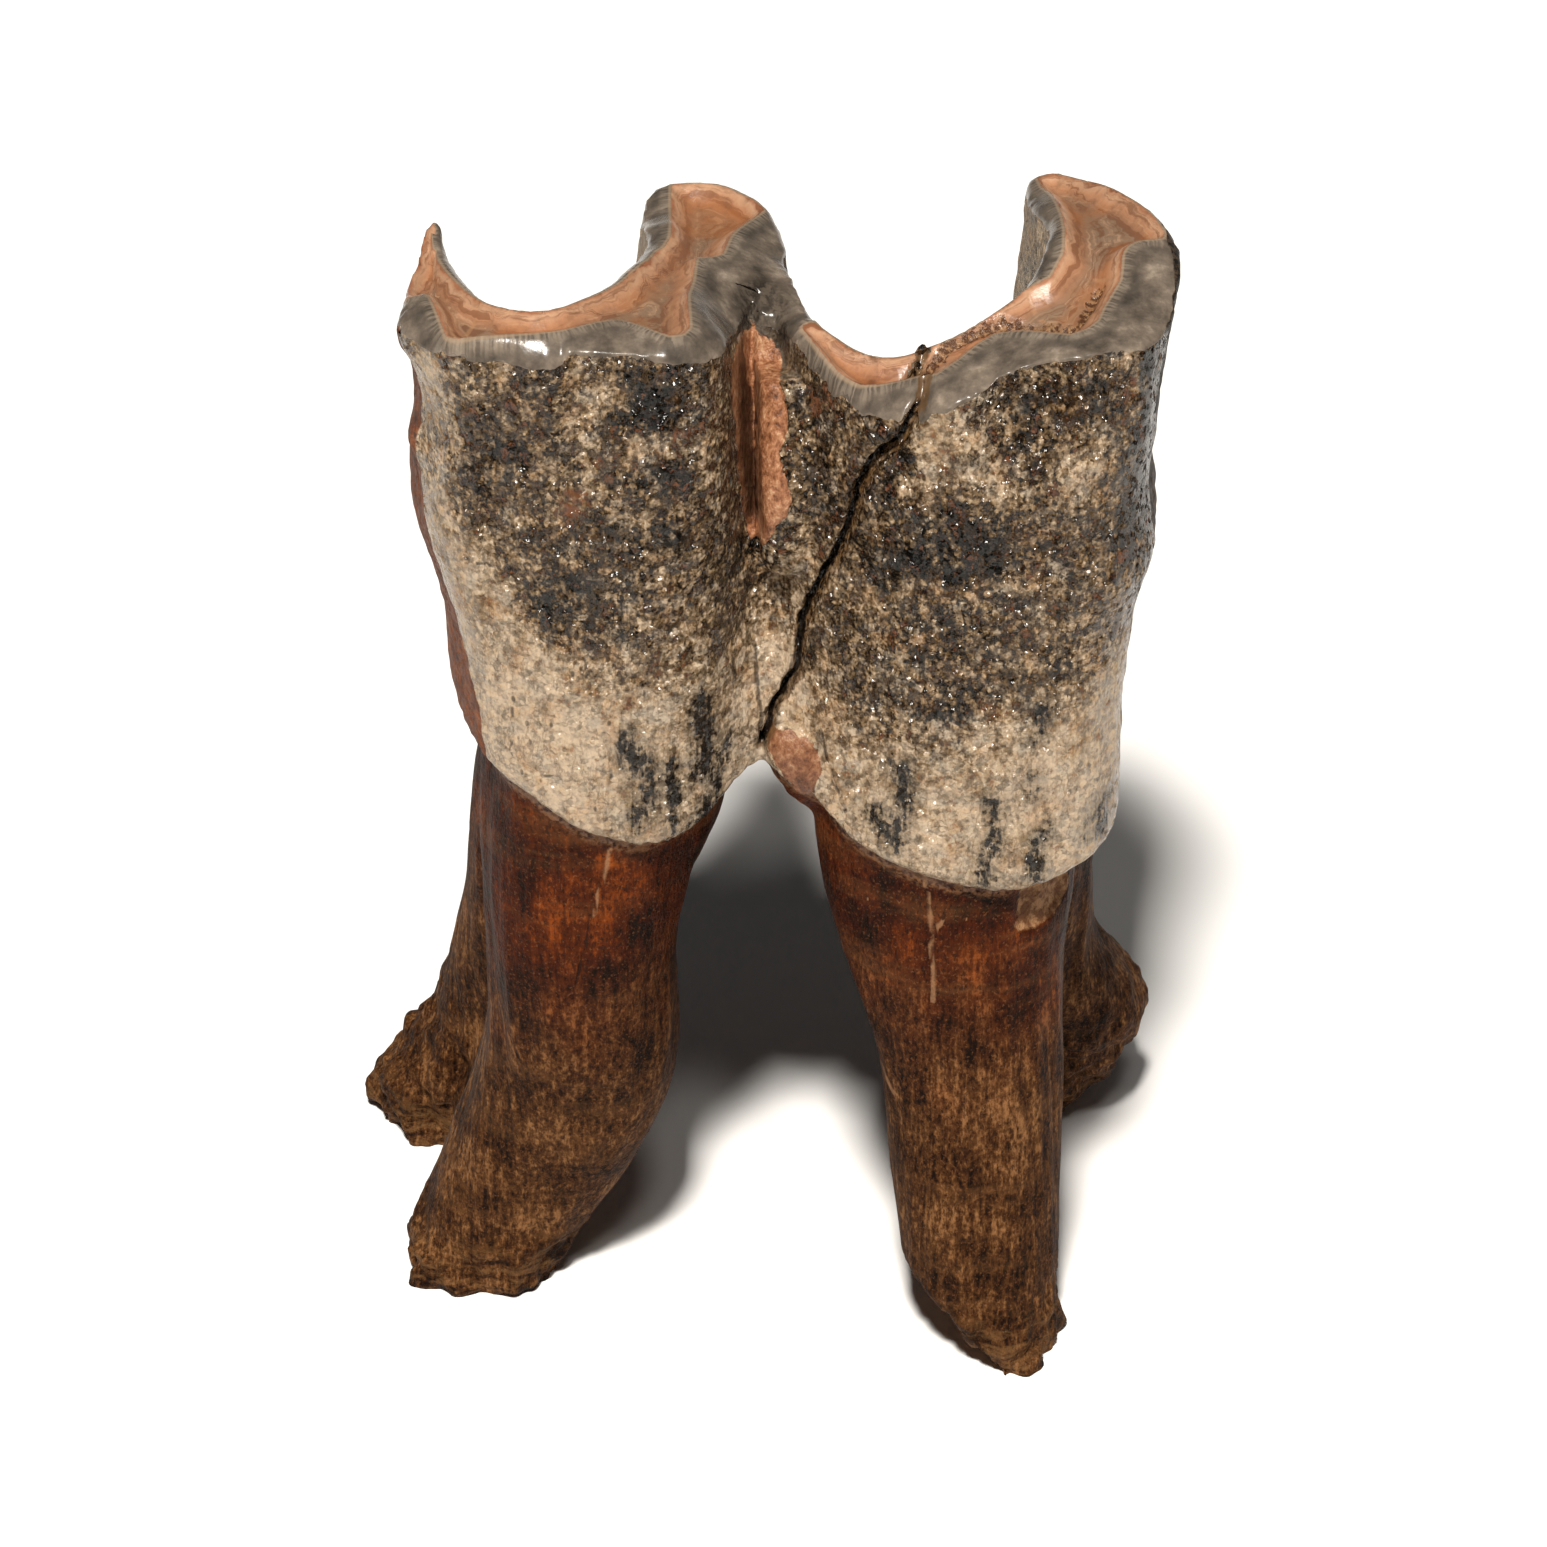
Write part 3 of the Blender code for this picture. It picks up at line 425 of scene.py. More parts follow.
def smoothstep(low, high, value):
    t = np.clip((value - low) / (high - low), 0.0, 1.0)
    return t * t * (3 - 2 * t)


def crown_outline():
    """One row per outline point: x, y at the top, x, y at the neck, enamel thickness, low height, taper."""
    rows = [
        (*point, enamel, low, taper) for _, enamel, low, taper, points in OUTLINE for point in points
    ]
    return spline(rows, POINTS_PER_SPAN, closed=True)


def outline_at(outline, z):
    """The outline's x and y at height z, which is one number or one for each outline point."""
    share = np.clip((z - outline[:, 5]) / (CAP_Z - outline[:, 5]), 0.0, 1.0) ** outline[:, 6]
    share = share[:, None]
    return outline[:, 2:4] * (1 - share) + outline[:, 0:2] * share


def loft(name, rings):
    """A closed mesh through rings of points, with a flat face over each end."""
    bm = bmesh.new()
    layers = [[bm.verts.new(point) for point in ring] for ring in rings]
    for lower, upper in zip(layers, layers[1:]):
        for k in range(len(lower)):
            bm.faces.new((lower[k - 1], lower[k], upper[k], upper[k - 1]))
    ends = [bm.faces.new(layers[0]), bm.faces.new(layers[-1])]
    bm.normal_update()  # a hollow outline is only divided rightly when its normal is known
    bmesh.ops.triangulate(bm, faces=ends)
    bmesh.ops.recalc_face_normals(bm, faces=bm.faces)
    mesh = bpy.data.meshes.new(name)
    bm.to_mesh(mesh)
    bm.free()
    return mesh


def crown_mesh(outline):
    neck_z = height_over(NECK_LINE, NECK_REACH, outline[:, 2], outline[:, 3])
    rings = []
    for step in np.linspace(0.0, 1.0, CROWN_RINGS):
        z = neck_z + step * (CAP_Z - neck_z)
        rings.append(np.column_stack([outline_at(outline, z), z]))
    return loft("crown", rings)


def root_mesh(name, squareness, keys):
    """A root from rings of superellipses, with its end broken off where BREAKS says so."""
    turn = np.linspace(0.0, 2 * np.pi, ROOT_POINTS, endpoint=False)
    along_x = np.sign(np.cos(turn)) * np.abs(np.cos(turn)) ** (2 / squareness)
    along_y = np.sign(np.sin(turn)) * np.abs(np.sin(turn)) ** (2 / squareness)
    per_span = max(2, ROOT_RINGS // (len(keys) - 1))
    rings = [
        np.column_stack([x + wide * along_x, y + deep * along_y, np.full(ROOT_POINTS, z)])
        for x, y, z, wide, deep in spline(keys, per_span, closed=False)
    ]
    mesh = loft(name, rings)
    for root, point, direction in BREAKS:
        if root == name:
            cut_away(mesh, point, direction)
    return mesh


def joined(meshes):
    """One mesh that holds all of these, still overlapping."""
    bm = bmesh.new()
    for mesh in meshes:
        bm.from_mesh(mesh)
    mesh = bpy.data.meshes.new("overlapping")
    bm.to_mesh(mesh)
    bm.free()
    return mesh


def with_modifier(mesh, kind, settings, weights=None):
    """The mesh as a modifier leaves it, with an optional weight for each vertex in its group called soft."""
    helper = bpy.data.objects.new("helper", mesh)
    bpy.context.scene.collection.objects.link(helper)
    if weights is not None:
        group = helper.vertex_groups.new(name="soft")
        steps = np.round(np.asarray(weights) * 100).astype(int)
        for step in np.unique(steps):
            group.add(np.flatnonzero(steps == step).tolist(), step / 100, "REPLACE")
    modifier = helper.modifiers.new(kind.title(), kind)
    for key, value in settings.items():
        setattr(modifier, key, value)
    evaluated = helper.evaluated_get(bpy.context.evaluated_depsgraph_get())
    result = bpy.data.meshes.new_from_object(evaluated)
    bpy.data.objects.remove(helper)
    return result


def points_of(mesh):
    points = np.empty(len(mesh.vertices) * 3)
    mesh.vertices.foreach_get("co", points)
    return points.reshape(-1, 3)


def normals_of(mesh):
    normals = np.empty(len(mesh.vertices) * 3)
    mesh.vertices.foreach_get("normal", normals)
    return normals.reshape(-1, 3)


def place_points(mesh, points):
    mesh.vertices.foreach_set("co", np.ascontiguousarray(points, float).ravel())
    mesh.update()


def gaps_to(starts, runs, places):
    """How far each place in the plane is from each of the segments, and the nearest point's share of each."""
    away = places[:, None] - starts
    share = np.clip((away * runs).sum(2) / (runs**2).sum(1), 0.0, 1.0)
    return np.linalg.norm(away - share[..., None] * runs, axis=2), share


def gap_to_path(path, places):
    path = np.asarray(path, float)
    parts = np.array_split(places, 16)
    return np.concatenate([gaps_to(path[:-1], np.diff(path, axis=0), part)[0].min(1) for part in parts])


def signed_gap(loop, places):
    """How far each place in the plane lies inside a closed line, and its nearest point's place along the line."""
    starts = np.asarray(loop, float)
    ends = np.roll(starts, -1, axis=0)
    runs = ends - starts
    rise = np.where(runs[:, 1] == 0.0, 1.0, runs[:, 1])
    lengths = np.linalg.norm(runs, axis=1)
    along_start = np.cumsum(lengths) - lengths
    gap, along = [], []
    for part in np.array_split(places, 32):
        away, share = gaps_to(starts, runs, part)
        nearest = away.argmin(1)
        rows = np.arange(len(part))
        px, py = part[:, :1], part[:, 1:]
        crosses = (starts[:, 1] > py) != (ends[:, 1] > py)
        left = px < starts[:, 0] + (py - starts[:, 1]) * runs[:, 0] / rise
        inside = (crosses & left).sum(1) % 2 == 1
        gap.append(np.where(inside, 1.0, -1.0) * away[rows, nearest])
        along.append(along_start[nearest] + share[rows, nearest] * lengths[nearest])
    return np.concatenate(gap), np.concatenate(along)


def edge_move(x, y):
    """How far the worn facet's outer edge is moved along Y at each place; nothing away from the cheek side."""
    xs, moves, _ = zip(*EDGE_SHAPE)
    return np.interp(x, xs, moves) * smoothstep(-5.5, -9.5, y)


def top_facts(outline, places):
    """For each place on the chewing surface: the depth inside the rim, the enamel's bevel, how far it lies inside
    the dentine, and its place along the dentine's edge."""
    rim = outline_at(outline, CAP_Z)
    rim[:, 1] += edge_move(rim[:, 0], rim[:, 1])
    runs = np.roll(rim, -1, axis=0) - rim
    thin = np.concatenate([[RIMS.get(name, THIN_RIM)] * len(points) for name, *_, points in OUTLINE])
    thin = np.repeat(thin, POINTS_PER_SPAN)
    xs, _, bevels = zip(*EDGE_SHAPE)
    depth, least, bevel = [], [], []
    for part in np.array_split(places, 32):
        gaps, _ = gaps_to(rim, runs, part)
        nearest = gaps.argmin(1)
        depth.append(gaps[np.arange(len(part)), nearest])
        least.append(thin[nearest])
        cheek = smoothstep(-5.5, -9.5, rim[nearest, 1])
        plain = BEVEL * outline[nearest, 4] / CHEEK_ENAMEL
        bevel.append(plain * (1 - cheek) + np.interp(rim[nearest, 0], xs, bevels) * cheek)
    depth, least, bevel = (np.concatenate(rows) for rows in (depth, least, bevel))
    (front, front_along), (rear, rear_along) = (signed_gap(loop, places) for loop in DENTINE)
    inward = np.minimum(np.maximum(front, rear), depth - least)
    return depth, bevel, inward, np.where(front > rear, front_along, rear_along)


def top_height(outline, places):
    """The height of the chewing surface at each place, how far the place lies inside the dentine, and its place
    along the dentine's edge."""
    depth, bevel, inward, along = top_facts(outline, places)
    surface = height_over(WEAR_SPOTS, WEAR_REACH, places[:, 0], places[:, 1])
    outward = np.maximum(-inward, 0.0)
    surface -= bevel * (outward / (outward + depth + 0.01)) ** 1.5
    in_dentine = np.clip(inward / DISH_WIDTH, 0.0, 1.0)
    surface -= (DISH - JUNCTION_STEP) * in_dentine * in_dentine * (3 - 2 * in_dentine)
    surface -= JUNCTION_STEP * smoothstep(0.0, JUNCTION_WIDTH, inward)
    split = gap_to_path(FISSURE, places)
    surface -= FISSURE_DEPTH * np.clip(1 - split / FISSURE_HALF_WIDTH, 0.0, 1.0)
    return surface, inward, along


def wear_down(mesh, outline):
    """Squeezes the top of the crown down onto the chewing surface, and dishes its dentine."""
    points = points_of(mesh)
    top = np.flatnonzero(points[:, 2] > WEAR_FROM_Z)
    x, y, z = points[top].T
    points[top, 1] += edge_move(x, y) * smoothstep(EDGE_FROM_Z, CAP_Z - 2.0, z)
    surface, _, _ = top_height(outline, points[top, :2])
    points[top, 2] = WEAR_FROM_Z + (z - WEAR_FROM_Z) * (surface - WEAR_FROM_Z) / (CAP_Z - WEAR_FROM_Z)
    place_points(mesh, points)


def relief(points, surfaces):
    """How far each point moves along its normal, from pairs of a surface's mask and its relief."""
    shift = np.zeros(len(points))
    for order, (mask, (height, scale)) in enumerate(surfaces):
        used = np.flatnonzero(mask > 0.01)
        places = points[used] * scale + NOISE_STEP * (order + 1)
        shift[used] += height * mask[used] * [noise.noise(Vector(place)) for place in places.tolist()]
    return shift


def wandering(path, reach):
    """The same line, made finer and a little uneven."""
    path = spline(path, 5, closed=False)
    path[:, 0] += reach * np.array([noise.noise(Vector((0.37 * k, NOISE_STEP, 0.0))) for k in range(len(path))])
    return path


def cut_groove(points, front, path, half_width, depth):
    gap = gap_to_path(path, points[:, ::2])
    points[:, 1] += depth * front * np.clip(1 - (gap / half_width) ** 2, 0.0, 1.0)


def cement_depth(points):
    """How far each point lies inside the cement's outlines as seen from the cheek side."""
    inside = np.maximum(signed_gap(CEMENT, points[:, ::2])[0], signed_gap(FORK_CEMENT, points[:, ::2])[0])
    return np.where(points[:, 1] < -2.0, inside, -9.0)


def roughen(mesh):
    """Gives walls, roots and root ends their relief, and cuts the crack and the slot beside the cement."""
    points = points_of(mesh)
    normals = normals_of(mesh)
    x, y, z = points.T
    neck = z - height_over(NECK_LINE, NECK_REACH, x, y)
    root = np.clip(-neck / 2.0, 0.0, 1.0)
    end = np.clip(1 - z / np.where(y > 7.0, TONGUE_END_Z, END_Z), 0.0, 1.0)
    wall = (1 - root) * np.clip(1.2 - np.abs(normals[:, 2]), 0.0, 1.0)
    upright = wall * (np.abs(normals[:, 2]) < 0.8)
    shift = relief(points, (
        (root, ROOT_LUMPS), (root, ROOT_RIDGES), (end, END_PITS), (wall, WALL_RELIEF),
        (root, ROOT_GRAIN), (end, END_GRAIN), (upright, WALL_GRAIN),
    ))
    for side, height, reach, swelling in SWELLINGS:
        facing = np.clip(side * normals[:, 0], 0.0, 1.0) * (side * x > SWELLING_FROM_X)
        shift += facing * swelling * np.exp(-(((z - height) / reach) ** 2))
    for *middle, reach, height in KNOBS:
        shift += height * np.exp(-(((points - middle) / reach) ** 2).sum(1))
    shift += 0.28 * smoothstep(-0.1, 0.45, neck) * wall * smoothstep(9.0, 1.0, neck)
    shift += 0.16 * np.exp(-(((neck + 0.6) / 0.5) ** 2)) * (y < 6.0)
    front = np.clip(-2 * normals[:, 1], 0.0, 1.0) * (y < -2.0)
    shift += front * CEMENT_RISE * smoothstep(-0.12, 0.12, cement_depth(points))
    shift -= front * CHIP_DEPTH * smoothstep(-0.1, 0.25, signed_gap(CHIP, points[:, ::2])[0])
    points += normals * shift[:, None]
    cut_groove(points, front, wandering(CRACK, 0.25), np.interp(z, *zip(*CRACK_HALF_WIDTH)), CRACK_DEPTH)
    cut_groove(points, front, wandering(SLOT, 0.2), SLOT_HALF_WIDTH, SLOT_DEPTH)
    crack_x, crack_z = zip(*reversed(CRACK))
    lip = np.interp(z, crack_z, crack_x) - x
    points[:, 1] -= CRACK_LIP * front * smoothstep(0.0, 0.3, lip) * smoothstep(4.0, 0.6, lip) * (z > 56.0)
    place_points(mesh, points)


def cut_away(mesh, point, direction):
    """Cuts off what lies beyond a plane, and closes the cut with a flat face."""
    bm = bmesh.new()
    bm.from_mesh(mesh)
    everything = bm.verts[:] + bm.edges[:] + bm.faces[:]
    cut = bmesh.ops.bisect_plane(bm, geom=everything, plane_co=point, plane_no=direction, clear_outer=True)
    rim = [part for part in cut["geom_cut"] if isinstance(part, bmesh.types.BMEdge)]
    bmesh.ops.holes_fill(bm, edges=rim, sides=0)
    bm.to_mesh(mesh)
    bm.free()


# ---- tissues: one number at each vertex for each thing that the material has to know


def patch(x, z, spots):
    """The sum of soft round patches given as x, z, half width, half height and strength."""
    total = np.zeros(len(x))
    for px, pz, wide, high, strength in spots:
        total += strength * np.exp(-(((x - px) / wide) ** 2 + ((z - pz) / high) ** 2) ** 1.3)
    return total


def nearest_line(lines, places):
    return np.min([gap_to_path(line, places) for line in lines], axis=0)


def warped(points):
    """The points strayed from their places, so that what is drawn by them gets uneven edges."""
    strayed = points.copy()
    for scale, reach in STAIN_WARPS:
        strayed += reach * np.array([noise.noise_vector(Vector(place)) for place in (points * scale).tolist()])
    return strayed


def tissue_values(mesh, outline):
    """A dict of name to one value for each vertex, in millimetres where it is a distance."""
    points, normals = points_of(mesh), normals_of(mesh)
    x, y, z = points.T
    plan, face = points[:, :2], points[:, ::2]
    surface, inward, along = top_height(outline, plan)
    # where the crown's material paints shade at the deep end of the groove
    groove = np.exp(-((((x + 0.8) / 2.3) ** 2 + ((y + 3.4) / 3.4) ** 2) ** 2))
    on_top = smoothstep(1.2, 0.6, surface - z) * smoothstep(0.1, 0.35, normals[:, 2])
    neck = z - height_over(NECK_LINE, NECK_REACH, x, y)
    cheek = smoothstep(-6.5, -8.5, y) * smoothstep(-0.1, 0.25, -normals[:, 1])
    strayed = warped(points)
    wx, wy, wz = strayed.T
    wavy_face = (points + strayed)[:, ::2] / 2
    pale_z = np.interp(wx, *zip(*PALE_BELOW))
    dark = 0.57 * smoothstep(pale_z - 7.0, pale_z + 5.5, wz) + cheek * patch(wx, wz, STAINS)
    dark += 0.28 * smoothstep(0.4, 0.8, normals[:, 0]) * (x > 20.0) * smoothstep(54.0, 64.0, wz)
    # painted light: high on the tongue side, walls that face the front of the jaw, such as the middle cusp's side of
    # the front valley, are made paler as if lit
    dark -= 0.50 * smoothstep(0.2, 0.6, -normals[:, 0]) * smoothstep(-1.0, 2.0, y) * (x > -12.0) * (z > 55.0)
    rust = cheek * patch(wx, wz, [(*spot, 1.0) for spot in RUST])
    glow = patch(wx, wz, GLOWS) * (y < -6.0)
    far = 9.0
    streak = np.full(len(x), -far)
    for half_width, *line in STREAKS:
        streak = np.maximum(streak, half_width - gap_to_path(line, wavy_face))
    bare_from = -10.0 - 2.2 * smoothstep(58.0, 47.0, z)
    bare = smoothstep(bare_from, bare_from + 0.8, y) * smoothstep(0.1, 0.4, -normals[:, 0]) * (x < -14.5)
    bare *= neck > -0.5
    turned = np.maximum(smoothstep(0.45, 0.7, normals[:, 0]) * (x > 19.0), smoothstep(24.2, 24.8, x))
    contact = turned * np.exp(-((((wy + 3.0) / 5.8) ** 2 + ((wz - 71.5) / 10.0) ** 2) ** 3))
    front = y < -5.0
    high = on_top > 0.3
    side_lines = np.where(front, nearest_line(PALE_HAIRLINES, face), far)
    return {
        "inward": np.where(high, inward, -far),
        "worn": on_top,
        "along": along,
        "neck": neck,
        "cheek": cheek,
        "dark": dark,
        "rust": rust,
        "glow": glow,
        "streak": np.where(cheek > 0.3, streak, -far),
        "dark_line": np.where(front, nearest_line(DARK_HAIRLINES, face), far),
        "pale_line": np.where(high, nearest_line(PALE_CRACKS, plan), side_lines),
        "crack": np.where(front, gap_to_path(wandering(CRACK, 0.25), face), far),
        "cement": cement_depth(points),
        "groove": groove * (z > 66.0),
        "slot": np.where(front & (z > 56.0), gap_to_path(wandering(SLOT, 0.2), face), far),
        "chip": np.where(front, signed_gap(CHIP, face)[0], -far),
        "bare": bare,
        "contact": contact,
        "fissure": np.where(high, gap_to_path(FISSURE, plan), far),
        "brown_line": np.where(high, nearest_line(BROWN_LINES, plan), far),
    }


def tooth_mesh():
    outline = crown_outline()
    forms = [crown_mesh(outline)]
    forms += [root_mesh(name, squareness, keys) for name, (squareness, keys) in ROOTS.items()]
    mesh = with_modifier(joined(forms), "REMESH", {"mode": "VOXEL", "voxel_size": VOXEL})
    soft = np.interp(points_of(mesh)[:, 2], *zip(*SOFTNESS))
    settings = {"factor": 0.5, "iterations": SOFT_PASSES, "vertex_group": "soft"}
    mesh = with_modifier(mesh, "SMOOTH", settings, weights=soft)
    wear_down(mesh, outline)
    roughen(mesh)
    mesh = with_modifier(mesh, "SMOOTH", {"factor": 0.5, "iterations": LAST_PASSES})
    triangles = sum(len(face.vertices) - 2 for face in mesh.polygons)
    mesh = with_modifier(mesh, "DECIMATE", {"ratio": min(1.0, TRIANGLES / triangles)})
    cut_away(mesh, (0.0, 0.0, 0.0), (0.0, 0.0, -1.0))
    for name, values in tissue_values(mesh, outline).items():
        attribute = mesh.attributes.new(name, "FLOAT", "POINT")
        attribute.data.foreach_set("value", np.ascontiguousarray(values, np.float32))
    return mesh


# ---- material


def tone(red, green, blue):
    """A surface's own colour from the screen values, 0 to 255, that it is to have on a wall in this light."""
    channels = [c / 255 for c in (red, green, blue)]
    linear = [c / 12.92 if c <= 0.04045 else ((c + 0.055) / 1.055) ** 2.4 for c in channels]
    return (*(c / WALL_LIGHT for c in linear), 1.0)


class Nodes:
    """Short ways to add and join shader nodes."""

    def __init__(self, material):
        material.use_nodes = True
        self.tree = material.node_tree
        self.shader = self.tree.nodes["Principled BSDF"]
        coordinates = self.tree.nodes.new("ShaderNodeTexCoord").outputs["Object"]
        scale = self.tree.nodes.new("ShaderNodeVectorMath")
        scale.operation = "SCALE"
        self.tree.links.new(coordinates, scale.inputs[0])
        scale.inputs["Scale"].default_value = 1 / MM
        self.place = scale.outputs[0]  # millimetres in the row frame

    def put(self, socket, value):
        if isinstance(value, bpy.types.NodeSocket):
            self.tree.links.new(value, socket)
        else:
            socket.default_value = value

    def value(self, name):
        node = self.tree.nodes.new("ShaderNodeAttribute")
        node.attribute_type = "GEOMETRY"
        node.attribute_name = name
        return node.outputs["Fac"]

    def math(self, operation, a, b=0.0):
        node = self.tree.nodes.new("ShaderNodeMath")
        node.operation = operation
        self.put(node.inputs[0], a)
        self.put(node.inputs[1], b)
        return node.outputs[0]

    def add(self, *values):
        total = values[0]
        for value in values[1:]:
            total = self.math("ADD", total, value)
        return total

    def times(self, a, b):
        return self.math("MULTIPLY", a, b)

    def swing(self, texture, amount):
        """A texture of 0 to 1 as a swing of half that amount either way of nought."""
        return self.times(self.math("SUBTRACT", texture, 0.5), amount)

    def step(self, value, low, high, to_low=0.0, to_high=1.0):
        """to_low at low, to_high at high, smooth between."""
        node = self.tree.nodes.new("ShaderNodeMapRange")
        node.interpolation_type = "SMOOTHSTEP"
        turned = high < low
        self.put(node.inputs["Value"], value)
        node.inputs["From Min"].default_value = high if turned else low
        node.inputs["From Max"].default_value = low if turned else high
        node.inputs["To Min"].default_value = to_high if turned else to_low
        node.inputs["To Max"].default_value = to_low if turned else to_high
        return node.outputs["Result"]

    def stretched(self, x, y, z):
        node = self.tree.nodes.new("ShaderNodeVectorMath")
        node.operation = "MULTIPLY"
        self.tree.links.new(self.place, node.inputs[0])
        node.inputs[1].default_value = (x, y, z)
        return node.outputs[0]

    def vector(self, x, y, z):
        node = self.tree.nodes.new("ShaderNodeCombineXYZ")
        for socket, value in zip(node.inputs, (x, y, z)):
            self.put(socket, value)
        return node.outputs[0]

    def noise(self, scale, detail=2.0, roughness=0.5, place=None):
        node = self.tree.nodes.new("ShaderNodeTexNoise")
        self.tree.links.new(place or self.place, node.inputs["Vector"])
        node.inputs["Scale"].default_value = scale
        node.inputs["Detail"].default_value = detail
        node.inputs["Roughness"].default_value = roughness
        return node.outputs["Fac"]

    def cells(self, scale, place=None):
        """Cells about as wide as 1 / scale: the distance to each one's point, and a number that each one draws."""
        node = self.tree.nodes.new("ShaderNodeTexVoronoi")
        self.tree.links.new(place or self.place, node.inputs["Vector"])
        node.inputs["Scale"].default_value = scale
        return node.outputs["Distance"], node.outputs["Color"]

    def facets(self, scale, slope):
        """The height of a surface broken into flat grains, each tilted its own way by up to that slope."""
        node = self.tree.nodes.new("ShaderNodeTexVoronoi")
        self.tree.links.new(self.place, node.inputs["Vector"])
        node.inputs["Scale"].default_value = scale
        reach = self.tree.nodes.new("ShaderNodeVectorMath")
        reach.operation = "SUBTRACT"
        self.tree.links.new(self.place, reach.inputs[0])
        self.tree.links.new(node.outputs["Position"], reach.inputs[1])
        tilt = self.tree.nodes.new("ShaderNodeVectorMath")
        tilt.operation = "SUBTRACT"
        self.tree.links.new(node.outputs["Color"], tilt.inputs[0])
        tilt.inputs[1].default_value = (0.5, 0.5, 0.5)
        product = self.tree.nodes.new("ShaderNodeVectorMath")
        product.operation = "DOT_PRODUCT"
        self.tree.links.new(reach.outputs[0], product.inputs[0])
        self.tree.links.new(tilt.outputs[0], product.inputs[1])
        return self.times(product.outputs["Value"], 2 * slope)

    def mix(self, share, a, b):
        node = self.tree.nodes.new("ShaderNodeMix")
        node.data_type = "RGBA"
        self.put(node.inputs["Factor"], share)
        self.put(node.inputs[6], a)
        self.put(node.inputs[7], b)
        return node.outputs[2]

    def blend(self, share, a, b):
        """The same for plain numbers."""
        node = self.tree.nodes.new("ShaderNodeMix")
        node.data_type = "FLOAT"
        self.put(node.inputs["Factor"], share)
        self.put(node.inputs[2], a)
        self.put(node.inputs[3], b)
        return node.outputs[0]

    def ramp(self, value, stops):
        node = self.tree.nodes.new("ShaderNodeValToRGB")
        self.put(node.inputs["Fac"], value)
        elements = node.color_ramp.elements
        while len(elements) < len(stops):
            elements.new(0.5)
        for element, (position, colour) in zip(elements, stops):
            element.position = position
            element.color = colour
        return node.outputs["Color"]


def wall_look(n):
    """The enamel's walls: cream to black mottling of fused grains, rust and streaks.

    Returns the colour, the fine height in millimetres, and how dark it is.
    """
    clouds = n.noise(0.30, 3.0, 0.55)
    mottle = n.noise(0.85, 4.0, 0.72)
    gap, drawn = n.cells(2.6, n.stretched(1.0, 1.0, 0.75))
    _, speck = n.cells(5.2)
    fine = n.noise(3.4, 2.0, 0.6, n.stretched(1.0, 1.0, 0.7))
    fibre = n.noise(1.0, 3.0, 0.65, n.stretched(3.0, 3.0, 0.30))
    # the stains, together with the painted light on the valley walls that face the front
    stains_and_painted_light = n.value("dark")
    busy = n.times(n.step(stains_and_painted_light, -0.05, 0.35, 0.62, 1.0), n.step(n.value("cheek"), 0.0, 0.6, 0.40, 1.0))
    grains = n.add(n.swing(drawn, 0.52), n.swing(speck, 0.56), n.swing(gap, 0.30))
    unrest = n.add(
        n.swing(mottle, 1.90), n.swing(fine, 0.40), n.swing(fibre, 0.60),
        n.times(grains, n.step(stains_and_painted_light, 0.0, 0.40, 0.35, 1.0)),
    )
    darkness = n.add(stains_and_painted_light, n.swing(clouds, 0.60), n.times(unrest, busy))
    colour = n.ramp(darkness, (
        (0.00, tone(216, 192, 163)), (0.16, tone(193, 168, 137)), (0.33, tone(160, 134, 103)),
        (0.50, tone(120, 97, 70)), (0.66, tone(78, 61, 42)), (0.82, tone(34, 27, 19)), (1.0, tone(4, 4, 3)),
    ))
    deep = n.step(darkness, 0.25, 0.75)
    ochre = n.step(n.noise(0.50, 4.0, 0.7), 0.50, 0.64)
    colour = n.mix(n.times(ochre, 0.40), colour, n.mix(deep, tone(198, 154, 110), tone(86, 58, 32)))
    cool = n.step(n.noise(0.55, 4.0, 0.6, n.stretched(1.0, 1.0, 1.3)), 0.50, 0.64)
    colour = n.mix(n.times(cool, 0.38), colour, n.mix(deep, tone(186, 178, 164), tone(66, 64, 60)))
    rust = n.step(n.add(n.value("rust"), n.swing(mottle, 4.2), n.swing(drawn, 1.0), n.swing(speck, 0.8)), 0.55, 1.05)
    colour = n.mix(n.times(rust, 0.55), colour, n.mix(fine, tone(120, 70, 44), tone(182, 122, 86)))
    vein = n.math("ABSOLUTE", n.math("SUBTRACT", n.noise(0.45, 5.0, 0.65, n.stretched(1.3, 1.3, 0.6)), 0.5))
    vein = n.times(n.step(vein, 0.035, 0.008), n.step(n.noise(0.35, 2.0), 0.42, 0.56))
    colour = n.mix(n.times(vein, 0.40), colour, tone(104, 82, 58))
    hole, _ = n.cells(1.1, n.stretched(1.0, 1.0, 0.6))
    pits = n.times(n.step(hole, 0.20, 0.10), n.step(n.noise(0.5, 2.0), 0.46, 0.56))
    colour = n.mix(n.times(pits, 0.75), colour, tone(48, 36, 26))
    ragged = n.add(n.value("streak"), n.swing(fine, 1.4), n.swing(fibre, 1.2), n.swing(drawn, 0.6), n.swing(mottle, 1.2))
    colour = n.mix(n.step(ragged, -1.6, -0.1, 0.0, 0.50), colour, tone(96, 80, 60))
    colour = n.mix(n.step(ragged, -0.42, 0.16, 0.0, 0.94), colour, tone(16, 15, 15))
    steep = n.times(busy, n.step(n.noise(0.8, 2.0, 0.6), 0.34, 0.54, 0.45, 1.0))
    height = n.add(
        n.times(n.add(n.facets(2.6, 0.92), n.facets(4.6, 0.62)), steep), n.swing(fine, 0.07),
        n.swing(n.noise(1.3, 2.0), 0.20), n.swing(fibre, 0.06),
    )
    return colour, height, darkness


